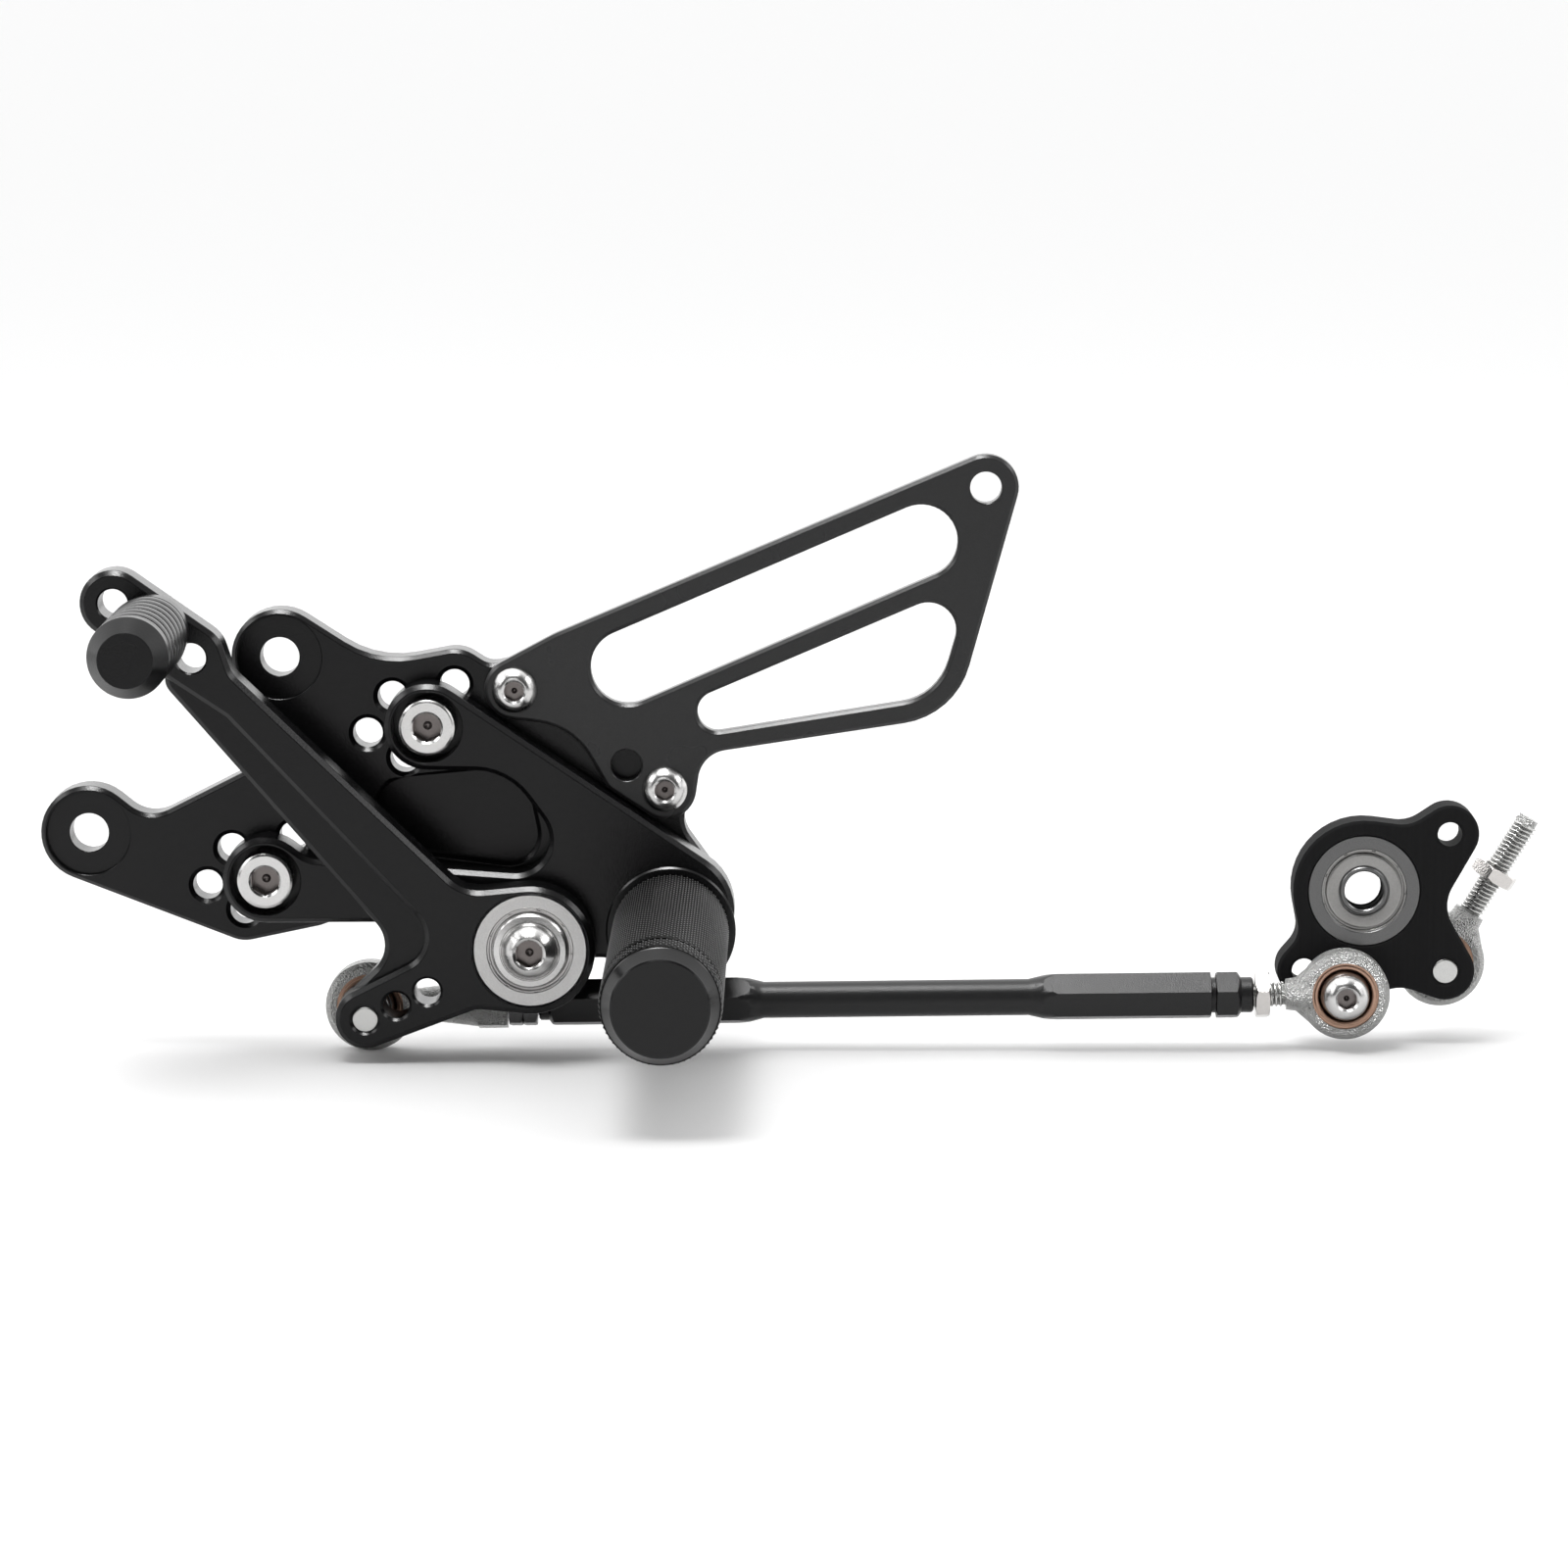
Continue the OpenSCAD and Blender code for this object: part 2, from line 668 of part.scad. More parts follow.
module toe_peg_screw() {
    color("#a9aaac") difference() {
        union() {
            pin(toe_used, thread_r, lever_y - 20, lever_back_y + 0.5);
            pin(toe_used, button_d / 2, lever_back_y, lever_back_y + button_h);
        }
        hexagon(toe_used, small_socket, lever_back_y + button_h / 3, lever_back_y + button_h + over);
    }
}

// Screw from behind that carries the front ball, its tip flush in the lever
module front_link_screw() {
    head = link_y + eye_ball_w / 2;
    color("#b0b1b3") difference() {
        union() {
            pin(front_ball, thread_r, lever_y + 0.4, head + 0.5);
            pin(front_ball, button_d / 2, head, head + button_h);
        }
        hexagon(front_ball, small_socket, head + button_h / 3, head + button_h + over);
    }
}

module front_link_spacer() {
    color("#8f9092") ring(front_ball, 5, thread_r + slip, lever_back_y, link_y - eye_ball_w / 2);
}

// Ball of a rod end, its bore along Y
module eye_ball(place, y) {
    difference() {
        intersection() {
            translate([place.x, y, place.y]) rotate([90, 0, 0]) sphere(r = eye_ball_r, $fn = 64);
            pin(place, eye_ball_r + 1, y - eye_ball_w / 2, y + eye_ball_w / 2);
        }
        pin(place, thread_r + run, y - eye_ball_w, y + eye_ball_w);
    }
}

module front_eye_ball() { color("#c9cacc") eye_ball(front_ball, link_y); }
module rear_eye_ball() { color("#c9cacc") eye_ball(rear_ball, link_y); }
module stud_eye_ball() { color("#c9cacc") eye_ball(stud_ball, stud_y); }

// Liner between a ball and its eye
module eye_liner(place, y) {
    difference() {
        pin(place, liner_d / 2, y - eye_w / 2 + 0.3, y + eye_w / 2 - 0.3);
        translate([place.x, y, place.y]) rotate([90, 0, 0]) sphere(r = eye_ball_r + run, $fn = 64);
    }
}

module front_eye_liner() { color("#b98a5e") eye_liner(front_ball, link_y); }
module rear_eye_liner() { color("#b98a5e") eye_liner(rear_ball, link_y); }
module stud_eye_liner() { color("#b98a5e") eye_liner(stud_ball, stud_y); }

// Places children along the linkage rod, X from the front ball to the rear one
module along_link() {
    translate([front_ball.x, link_y, front_ball.y]) rotate([0, -link_tilt, 0]) children();
}

// Round bar along X from one station to another
module bar(from, to, r) {
    translate([from, 0, 0]) rotate([0, 90, 0]) cylinder(r = r, h = to - from);
}

// Hexagon bar along X
module hex_bar(from, to, flats, turn = 0) {
    translate([from, 0, 0]) rotate([0, 90, 0]) rotate([0, 0, turn])
        cylinder(r = flats / 2 / cos(30), h = to - from, $fn = 6);
}

// Eye of a rod end about the local origin, with rounded rims
module eye_body() {
    r = eye_d / 2;
    side = eye_w / 2;
    rotate([90, 0, 0]) rotate_extrude() polygon([[0, -side], [r - eye_rim, -side],
        [r, -side + eye_rim], [r, side - eye_rim], [r - eye_rim, side], [0, side]]);
}

module eye_hole() {
    rotate([90, 0, 0]) cylinder(r = liner_d / 2, h = eye_w + 2 * over, center = true);
}

module front_eye() {
    color("#b5b5b2") along_link() difference() {
        union() {
            eye_body();
            bar(6, socket_l - socket_hex_l, eye_neck_r * 0.62);
            translate([socket_cone_x, 0, 0]) rotate([0, 90, 0])
                cylinder(r1 = eye_w / 2, r2 = eye_neck_r, h = socket_l - socket_hex_l - socket_cone_x);
            hex_bar(socket_l - socket_hex_l, socket_l, socket_hex, rod_turn);
        }
        eye_hole();
        bar(front_stud_x - 1, socket_l + over, tap_r);
    }
}

module front_link_stud() {
    color("#9fa0a2") along_link() bar(front_stud_x, front_stud_x + front_stud_l, thread_r);
}

// Hexagon nut along X with turned faces, tapped for the small thread
module nut(from) {
    r = nut_hex / 2 / cos(30) + corner_gap;
    difference() {
        intersection() {
            hex_bar(from, from + nut_h, nut_hex, rod_turn);
            translate([from, 0, 0]) rotate([0, 90, 0]) rotate_extrude() polygon([[0, 0],
                [r - edge, 0], [r, 0.6], [r, nut_h - 0.6], [r - edge, nut_h], [0, nut_h]]);
        }
        bar(from - over, from + nut_h + over, tap_r);
    }
}

module front_jam_nuts() {
    color("#5b5c5e") along_link() {
        nut(front_nut_x);
        nut(front_nut_x + nut_h + nut_gap);
    }
}

module rear_jam_nut() { color("#77787a") along_link() nut(rear_nut_x); }

// Hexagon bar turned down in the middle and at its ends, tapped from both ends
module linkage_rod() {
    r = rod_d / 2;
    neck_r = r - 0.1;
    hex_r = rod_hex / 2 / cos(30) + corner_gap;
    a = rod_start + rod_neck;
    b = a + rod_front_hex;
    c = b + rod_front_taper;
    h = rod_end - rod_nose;
    g = h - rod_collar;
    e = g - rod_rear_hex;
    d = e - rod_rear_taper;
    color("#3f4043") along_link() difference() {
        intersection() {
            hex_bar(rod_start, rod_end, rod_hex, rod_turn);
            rotate([0, 90, 0]) rotate_extrude() polygon([[0, rod_start], [neck_r - 0.4, rod_start],
                [neck_r, rod_start + 0.4], [neck_r, a], [hex_r, a + 1.3], [hex_r, b],
                [r, c], [r, d], [hex_r, e], [hex_r, g - 0.3], [neck_r, g],
                [neck_r, g + 0.9], [hex_r, g + 1.2], [hex_r, h], [neck_r, h + 1.2],
                [neck_r, rod_end - 0.4], [neck_r - 0.4, rod_end], [0, rod_end]]);
        }
        bar(rod_start - over, front_stud_x + front_stud_l + 2, tap_r);
        bar(link_l - eye_shank_l - 2, rod_end + over, tap_r);
    }
}

// Eye with a threaded shank along its local X
module threaded_eye(shank) {
    difference() {
        union() {
            eye_body();
            translate([shank_cone_x, 0, 0]) rotate([0, 90, 0])
                cylinder(r1 = shank_cone_r[0], r2 = shank_cone_r[1], h = shank_cone_l);
            bar(shank_cone_x, shank, thread_r);
        }
        eye_hole();
    }
}

module rear_eye() {
    color("#b5b5b2") along_link() translate([link_l, 0, 0]) mirror([1, 0, 0])
        threaded_eye(eye_shank_l);
}

module relay_plate() {
    outline = belt([
        round_it(relay_front_hole, 6.2),
        round_it(rear_ball, 6.7),
        round_it(stud_ball + [-10.4, -12.9], -8.9),
        round_it(stud_ball, 6.75),
        round_it(relay + [27.7, -3.4], -8.4),
        round_it(relay_top_hole, 6.75),
        round_it(relay + [8.5, 23.4], -7.9),
        round_it(relay, relay_boss_r),
        round_it(relay + [-21.1, -8.8], -6)]);
    color("#2c2d30") difference() {
        slab(outline, relay_y, relay_back_y);
        pin(relay, bearing_od / 2, relay_y - over, relay_bearing_y + bearing_w);
        pin(relay, seat_lip_r, relay_y - over, relay_back_y + over);
        for (h = [relay_front_hole, relay_top_hole])
            bore(h, relay_hole_d / 2, relay_y, relay_back_y, 0.7);
        for (h = [rear_ball, stud_ball]) bore(h, tap_r, relay_y, relay_back_y, 0.6);
    }
}

module relay_bearing_outer_ring() { color("#97989a") outer_ring(relay, relay_bearing_y); }
module relay_bearing_shields() { color("#bcbdbf") shields(relay, relay_bearing_y); }
module relay_bearing_inner_ring() { color("#9c9c9e") inner_ring(relay, relay_bearing_y); }
module relay_bearing_balls() { color("#d0d0d2") balls(relay, relay_bearing_y); }
module relay_bearing_cage() { color("#a5a190") cage(relay, relay_bearing_y); }

module rear_link_screw() {
    color("#b9babc") button_screw(rear_ball, link_y - eye_ball_w / 2, relay_back_y - edge);
}

// Screw from behind that carries the stud's ball, its tip flush in the relay plate
module stud_link_screw() {
    head = stud_y + eye_ball_w / 2;
    color("#b0b1b3") difference() {
        union() {
            pin(stud_ball, thread_r, relay_y + 0.4, head + 0.5);
            pin(stud_ball, button_d / 2, head, head + button_h);
        }
        hexagon(stud_ball, small_socket, head + button_h / 3, head + button_h + over);
    }
}

// Places children on the threaded stud, X from its ball outwards
module along_stud() {
    translate([stud_ball.x, stud_y, stud_ball.y]) rotate([0, -stud_angle, 0]) children();
}

// The stud's free end, past its jam nut, takes the motorcycle's own link
module stud_eye() { color("#b5b5b2") along_stud() threaded_eye(stud_shank_l); }

module stud_jam_nut() { color("#6a6b6d") along_stud() nut(stud_nut_x); }

base_plate();
peg_plate();
heel_guard();
plate_bolts();
guard_screws();
pivot_bush();
pivot_screw();
lever_bearing_inner_ring();
footpeg_flange();
footpeg_barrel();
footpeg_end_cap();
footpeg_stud();
shift_lever();
toe_peg();
toe_peg_screw();
lever_bearing_outer_ring();
lever_bearing_shields();
front_link_screw();
front_link_spacer();
front_eye_ball();
lever_bearing_balls();
lever_bearing_cage();
front_eye();
front_eye_liner();
front_link_stud();
front_jam_nuts();
linkage_rod();
rear_jam_nut();
rear_eye();
rear_eye_liner();
relay_plate();
relay_bearing_outer_ring();
relay_bearing_shields();
rear_eye_ball();
rear_link_screw();
stud_eye_ball();
stud_link_screw();
relay_bearing_inner_ring();
relay_bearing_balls();
relay_bearing_cage();
stud_eye();
stud_eye_liner();
stud_jam_nut();
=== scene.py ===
"""Looks of the rear set: a left-hand motorcycle footrest with its shift lever and linkage.
X runs to the back of the bike, Y into the bike and Z up, in metres. The origin is the upper frame
bore. The object's places and sizes are written in millimetres, which MM turns into metres. Those of
the camera and the lights are in metres."""
import math

import bmesh
import bpy
from mathutils import Matrix, Vector


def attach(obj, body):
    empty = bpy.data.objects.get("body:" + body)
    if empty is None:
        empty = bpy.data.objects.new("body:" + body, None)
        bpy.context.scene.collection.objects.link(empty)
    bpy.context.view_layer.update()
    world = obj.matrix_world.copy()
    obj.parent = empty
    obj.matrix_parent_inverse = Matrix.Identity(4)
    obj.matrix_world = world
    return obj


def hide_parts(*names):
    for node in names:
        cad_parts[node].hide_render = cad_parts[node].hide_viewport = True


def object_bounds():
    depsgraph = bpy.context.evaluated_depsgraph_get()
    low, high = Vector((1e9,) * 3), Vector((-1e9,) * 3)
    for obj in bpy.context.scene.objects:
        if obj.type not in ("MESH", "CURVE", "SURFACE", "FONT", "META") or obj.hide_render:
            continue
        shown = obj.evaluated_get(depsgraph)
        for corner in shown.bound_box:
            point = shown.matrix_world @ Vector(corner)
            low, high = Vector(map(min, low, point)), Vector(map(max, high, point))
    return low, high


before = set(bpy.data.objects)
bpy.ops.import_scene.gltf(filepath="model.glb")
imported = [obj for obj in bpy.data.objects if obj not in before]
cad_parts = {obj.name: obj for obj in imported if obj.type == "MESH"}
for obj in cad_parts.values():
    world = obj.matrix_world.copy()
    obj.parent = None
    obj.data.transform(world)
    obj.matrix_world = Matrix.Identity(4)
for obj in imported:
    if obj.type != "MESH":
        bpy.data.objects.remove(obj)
cad_box = [list(corner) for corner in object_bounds()]
MM = 0.001

# Places in the row frame, as (x, z) in millimetres
UPPER_MOUNT = (0, 0)
LOWER_MOUNT = (-44.6, -41)
UPPER_BOLT = (34.4, -14.7)
LOWER_BOLT = (-3, -50.2)
GUARD_A = (54.2, -6.8)
GUARD_B = (88.5, -29.7)
GUARD_TIP = (161.7, 39.7)
GUARD_LOW_HOLE = (GUARD_B[0] - 8.8, GUARD_B[1] + 5.4)
PIVOT = (58.1, -64.4)
FOOTPEG = (89.9, -61.6)
TOE = (-26.597, 8.861)
FRONT_BALL = (20.4, -80.4)
REAR_BALL = (245.083, -77.655)
RELAY = (249.783, -54.455)
RELAY_LOW_HOLE = (REAR_BALL[0] - 8.9, REAR_BALL[1] + 4.4)
RELAY_TOP_HOLE = (RELAY[0] + 19.6, RELAY[1] + 13.2)
STUD_BALL = (268.883, -73.355)

# Steps between the lever's holes, as (x, z) in millimetres
TOE_STEP = (8.703, -6.139)
LINK_STEP = (7.143, 3.255)

# Slopes of the rod and of the second rod end, in degrees
LINK_TILT = 0.7
STUD_ANGLE = 59

# Faces of the stack, as y in millimetres
GUARD_FACE = -13.5
PEG_FACE = -19
LEVER_FACE = -30
LEVER_BEARING = -29.5
RELAY_BEARING = -7.2
LINK_Y = -12
STUD_Y = 6

# Sizes in millimetres
BALL_TO_BALL = 224.7
REAR_SHANK = (13.4, 38.5)
STUD_SHANK = (13.4, 39.5)
THREAD_PITCH = 1.0
THREAD_ROOT = 2.42
THREAD_CREST = 3.0
BEARING_WIDTH = 8
SHIELD_SIDES = 72
CRIMP_MARKS = 9
KNURL_RADIUS = 13.0
KNURL_HEIGHT = 0.42
KNURL_PITCH = 2.4
KNURL_SIDES = 128

# Closeness that counts as the same place, in metres
TOUCH = 1e-6
NEAR = 2e-5


# Scene, camera and light

def activate(*objects):
    """Only these objects are selected, and the first is active."""
    if bpy.context.object and bpy.context.object.mode != "OBJECT":
        bpy.ops.object.mode_set(mode="OBJECT")
    bpy.ops.object.select_all(action="DESELECT")
    for o in objects:
        o.select_set(True)
    if objects:
        bpy.context.view_layer.objects.active = objects[0]


def area_light(name, place, target, size, power, glint=False):
    """A rectangular light. A glint light shows in shiny faces only and leaves the floor alone."""
    bpy.ops.object.light_add(type="AREA", location=place)
    light = bpy.context.object
    light.name = name
    light.data.shape = "RECTANGLE"
    light.data.size, light.data.size_y = size
    light.data.energy = power
    light.visible_diffuse = not glint
    aim = Vector(target) - Vector(place)
    light.rotation_euler = aim.to_track_quat("-Z", "Y").to_euler()


def camera():
    """The photograph's view: 9.2 degrees down, a long lens, turned by 30 of the photo's pixels."""
    lens, sensor, photo_width, aside = 126, 36, 1600, 30
    pitch, yaw = math.radians(9.2), math.atan(aside / (lens / sensor * photo_width))
    forward = Vector((-math.sin(yaw) * math.cos(pitch), math.cos(yaw) * math.cos(pitch),
                      -math.sin(pitch)))
    bpy.ops.object.camera_add(location=(0.122453, -1.255235, 0.172583))
    cam = bpy.context.object
    cam.name = "camera"
    right = Vector((math.cos(yaw), math.sin(yaw), 0))
    up = right.cross(forward)
    cam.rotation_euler = Matrix((right, up, -forward)).transposed().to_euler()
    cam.data.lens, cam.data.sensor_width = lens, sensor
    cam.data.clip_start, cam.data.clip_end = 0.05, 60
    bpy.context.scene.camera = cam


def material(name):
    m = bpy.data.materials.new(name)
    m.use_nodes = True
    return m


def studio_world():
    """Bright behind the object and dark towards the camera, so that its front faces stay black."""
    world = bpy.data.worlds.new("studio")
    bpy.context.scene.world = world
    world.use_nodes = True
    nodes, link = world.node_tree.nodes, world.node_tree.links.new
    where, split = nodes.new("ShaderNodeTexCoord"), nodes.new("ShaderNodeSeparateXYZ")
    ramp = nodes.new("ShaderNodeMapRange")
    ramp.interpolation_type = "SMOOTHSTEP"
    for name, value in (("From Min", -0.45), ("From Max", 0.25),
                        ("To Min", 0.08), ("To Max", 1.75)):
        ramp.inputs[name].default_value = value
    link(where.outputs["Generated"], split.inputs["Vector"])
    link(split.outputs["Y"], ramp.inputs["Value"])
    link(ramp.outputs["Result"], nodes["Background"].inputs["Strength"])
    nodes["Background"].inputs["Color"].default_value = (1, 1, 1, 1)


def studio():
    """A plain pale floor and soft lights round the object."""
    bpy.context.scene.view_settings.view_transform = "Standard"
    studio_world()
    bpy.ops.mesh.primitive_plane_add(size=40, location=(0.12, 8, cad_box[0][2]))
    floor = bpy.context.object
    floor.name = "floor"
    paint = material("floor_white")
    shader = paint.node_tree.nodes["Principled BSDF"]
    for name, value in (("Base Color", (0.9, 0.9, 0.9, 1)), ("Roughness", 0.8),
                        ("Specular IOR Level", 0.2)):
        shader.inputs[name].default_value = value
    floor.data.materials.append(paint)
    middle = (0.12, -0.02, -0.03)
    area_light("overhead", (-0.15, -0.20, 1.2), middle, (0.55, 0.5), 7)
    area_light("overhead_glint", (0.0, -0.26, 1.3), middle, (0.5, 0.14), 16, glint=True)
    area_light("right_glint", (1.15, -0.19, 0.75), middle, (0.55, 0.4), 4, glint=True)
    area_light("left_glint", (-0.9, -0.19, 0.75), middle, (0.55, 0.4), 4, glint=True)
    area_light("left", (-1.1, -0.6, 0.5), middle, (0.5, 0.7), 2.0)
    area_light("right", (1.3, -0.5, 0.4), middle, (0.5, 0.7), 1.5)
    area_light("front", (-0.2, -1.9, 0.8), middle, (0.9, 0.5), 3)


# Materials

def grain_group():
    """Fine grain and patches on metal: a varied colour and roughness, and a bumped normal.
    The colour is scaled by 0.875 + grain / 4 + patches, which is 1 in the mean."""
    g = bpy.data.node_groups.new("metal_grain", "ShaderNodeTree")
    face = g.interface
    for name, kind, value in (("Base Color", "NodeSocketColor", (0.5, 0.5, 0.5, 1)),
                              ("Roughness", "NodeSocketFloat", 0.4),
                              ("Grain Size", "NodeSocketFloat", 2500.0),
                              ("Grain Depth", "NodeSocketFloat", 0.1),
                              ("Grain Stretch", "NodeSocketVector", (1, 1, 1)),
                              ("Patch Size", "NodeSocketFloat", 60.0),
                              ("Patch Amount", "NodeSocketFloat", 0.05)):
        face.new_socket(name, in_out="INPUT", socket_type=kind).default_value = value
    for name, kind in (("Color", "NodeSocketColor"), ("Roughness", "NodeSocketFloat"),
                       ("Normal", "NodeSocketVector")):
        face.new_socket(name, in_out="OUTPUT", socket_type=kind)
    n, link = g.nodes, g.links.new

    def maths(kind, value=None):
        node = n.new("ShaderNodeMath")
        node.operation = kind
        if value is not None:
            node.inputs[1].default_value = value
        return node

    start, end = n.new("NodeGroupInput"), n.new("NodeGroupOutput")
    where, bump = n.new("ShaderNodeTexCoord"), n.new("ShaderNodeBump")
    grain, patch = n.new("ShaderNodeTexNoise"), n.new("ShaderNodeTexNoise")
    stretch, tint = n.new("ShaderNodeVectorMath"), n.new("ShaderNodeVectorMath")
    stretch.operation, tint.operation = "MULTIPLY", "SCALE"
    centre, spread, rough = maths("SUBTRACT", 0.5), maths("MULTIPLY"), maths("ADD")
    fine, mixed, total = maths("MULTIPLY", 0.25), maths("ADD"), maths("ADD", 0.875)
    grain.inputs["Detail"].default_value = 2
    bump.inputs["Distance"].default_value = 0.001
    link(where.outputs["Object"], stretch.inputs[0])
    link(start.outputs["Grain Stretch"], stretch.inputs[1])
    link(stretch.outputs["Vector"], grain.inputs["Vector"])
    link(where.outputs["Object"], patch.inputs["Vector"])
    link(start.outputs["Grain Size"], grain.inputs["Scale"])
    link(start.outputs["Patch Size"], patch.inputs["Scale"])
    link(grain.outputs["Fac"], bump.inputs["Height"])
    link(start.outputs["Grain Depth"], bump.inputs["Strength"])
    link(patch.outputs["Fac"], centre.inputs[0])
    link(centre.outputs[0], spread.inputs[0])
    link(start.outputs["Patch Amount"], spread.inputs[1])
    link(spread.outputs[0], rough.inputs[0])
    link(start.outputs["Roughness"], rough.inputs[1])
    link(grain.outputs["Fac"], fine.inputs[0])
    link(fine.outputs[0], mixed.inputs[0])
    link(spread.outputs[0], mixed.inputs[1])
    link(mixed.outputs[0], total.inputs[0])
    link(start.outputs["Base Color"], tint.inputs[0])
    link(total.outputs[0], tint.inputs["Scale"])
    link(tint.outputs["Vector"], end.inputs["Color"])
    link(rough.outputs[0], end.inputs["Roughness"])
    link(bump.outputs["Normal"], end.inputs["Normal"])
    return g


def tips_group():
    """A mask that is 0 at the bottom of a knurl about an axis along Y, and 1 on its tips; it places
    the knurl's painted shade and painted highlight.
    """
    g = bpy.data.node_groups.new("knurl_tips", "ShaderNodeTree")
    face = g.interface
    for name, kind, value in (("Axis Place", "NodeSocketVector", (0, 0, 0)),
                              ("Root Radius", "NodeSocketFloat", 0.01322),
                              ("Tip Radius", "NodeSocketFloat", 0.01335)):
        face.new_socket(name, in_out="INPUT", socket_type=kind).default_value = value
    face.new_socket("Tips", in_out="OUTPUT", socket_type="NodeSocketFloat")
    n, link = g.nodes, g.links.new
    start, end = n.new("NodeGroupInput"), n.new("NodeGroupOutput")
    where, ramp = n.new("ShaderNodeTexCoord"), n.new("ShaderNodeMapRange")
    away, flat, size = (n.new("ShaderNodeVectorMath") for _ in range(3))
    away.operation, flat.operation, size.operation = "SUBTRACT", "MULTIPLY", "LENGTH"
    flat.inputs[1].default_value = (1, 0, 1)
    link(where.outputs["Object"], away.inputs[0])
    link(start.outputs["Axis Place"], away.inputs[1])
    link(away.outputs["Vector"], flat.inputs[0])
    link(flat.outputs["Vector"], size.inputs[0])
    link(size.outputs["Value"], ramp.inputs["Value"])
    link(start.outputs["Root Radius"], ramp.inputs["From Min"])
    link(start.outputs["Tip Radius"], ramp.inputs["From Max"])
    link(ramp.outputs["Result"], end.inputs["Tips"])
    return g


GRAIN = grain_group()
TIPS = tips_group()
PAINTS = {}


def metal(name, colour, metallic, rough, size=2500, depth=0.1, spread=0.05, specular=0.5,
          stretch=(1, 1, 1)):
    """A material whose shader takes colour, roughness and normal from the grain group."""
    m = material(name)
    tree = m.node_tree
    shader = tree.nodes["Principled BSDF"]
    shader.inputs["Metallic"].default_value = metallic
    shader.inputs["Specular IOR Level"].default_value = specular
    node = tree.nodes.new("ShaderNodeGroup")
    node.node_tree = GRAIN
    for key, value in (("Base Color", (*colour, 1)), ("Roughness", rough), ("Grain Size", size),
                       ("Grain Depth", depth), ("Grain Stretch", stretch), ("Patch Size", 60),
                       ("Patch Amount", spread)):
        node.inputs[key].default_value = value
    for out, into in (("Color", "Base Color"), ("Roughness", "Roughness"), ("Normal", "Normal")):
        tree.links.new(node.outputs[out], shader.inputs[into])
    PAINTS[name] = m


def painted_knurl_light_and_shade(name):
    """Paints shade and light on the footpeg's knurl in a finished material: near-black valleys as
    painted shade, and tips left light grey as a painted highlight.
    """
    tree = PAINTS[name].node_tree
    grain = next(n for n in tree.nodes if n.type == "GROUP")
    tips, mix = tree.nodes.new("ShaderNodeGroup"), tree.nodes.new("ShaderNodeMix")
    tips.node_tree = TIPS
    tips.inputs["Axis Place"].default_value = (FOOTPEG[0] * MM, 0, FOOTPEG[1] * MM)
    mix.data_type = "RGBA"
    # Painted shade: the near-black colour at the bottom of the knurl's valleys.
    mix.inputs["A"].default_value = (0.001, 0.001, 0.001, 1)
    tree.links.new(tips.outputs["Tips"], mix.inputs["Factor"])
    tree.links.new(grain.outputs["Color"], mix.inputs["B"])
    tree.links.new(mix.outputs["Result"], tree.nodes["Principled BSDF"].inputs["Base Color"])


def paints():
    """Every paint: name, colour, metallic, roughness, and what differs from a plain metal."""
    metal("plate_black", (0.004, 0.004, 0.0044), 0, 0.24, depth=0.04, specular=0.22)
    metal("relay_black", (0.016, 0.016, 0.0165), 0, 0.5, size=1500, depth=0.06, specular=0.01,
          stretch=(1, 1, 0.02))
    metal("guard_black", (0.021, 0.021, 0.0215), 0, 0.28, depth=0.05, specular=0.3)
    # The knurl's light grey is a painted highlight on its tips, and the next call paints shade into
    # its valleys.
    metal("peg_black", (0.16, 0.16, 0.161), 0, 0.36, depth=0.05, specular=0.06)
    painted_knurl_light_and_shade("peg_black")
    metal("cap_black", (0.006, 0.006, 0.0063), 0, 0.22, depth=0.01, specular=0.24)
    metal("toe_black", (0.003, 0.003, 0.0034), 0, 0.28, depth=0.05, specular=0.22)
    metal("stainless", (0.56, 0.555, 0.55), 1, 0.24, depth=0.02)
    # Painted shade: the dark steel colour inside the hexagon sockets.
    metal("socket", (0.15, 0.135, 0.13), 1, 0.28, depth=0.02)
    metal("bearing_steel", (0.50, 0.495, 0.49), 1, 0.34, depth=0.08)
    metal("shield_steel", (0.46, 0.45, 0.445), 1, 0.30, depth=0.05)
    # Darker copies of bearing_steel and shield_steel for the relay bearing: painted shade.
    metal("relay_steel_painted_shade", (0.13, 0.13, 0.13), 1, 0.32, depth=0.06)
    metal("relay_shield_painted_shade", (0.26, 0.256, 0.25), 1, 0.32, depth=0.05)
    metal("ball_chrome", (0.62, 0.62, 0.62), 1, 0.12, depth=0.02)
    metal("zinc", (0.42, 0.42, 0.413), 1, 0.30, size=2200, depth=1.0, spread=0.25)
    metal("thread_zinc", (0.52, 0.52, 0.51), 1, 0.24, depth=0.02)
    metal("nut_zinc", (0.55, 0.53, 0.515), 1, 0.26, depth=0.1)
    metal("bronze", (0.42, 0.27, 0.20), 1, 0.35, depth=0.1)
    metal("nut_grey", (0.10, 0.10, 0.101), 1, 0.34, depth=0.08)
    metal("rod_grey", (0.004, 0.004, 0.0045), 0, 0.36, size=4000, depth=0.12, specular=0.36)


# Modelling helpers

def apply(o):
    activate(o)
    for m in list(o.modifiers):
        bpy.ops.object.modifier_apply(modifier=m.name)


def bevel(o, width, segments=2, angle=30):
    """Rounds the edges above the angle, by a width in millimetres."""
    m = o.modifiers.new("bevel", "BEVEL")
    m.width, m.segments = width * MM, segments
    m.limit_method, m.angle_limit = "ANGLE", math.radians(angle)
    m.use_clamp_overlap = True
    m.miter_outer = "MITER_ARC" if segments > 1 else "MITER_SHARP"
    apply(o)


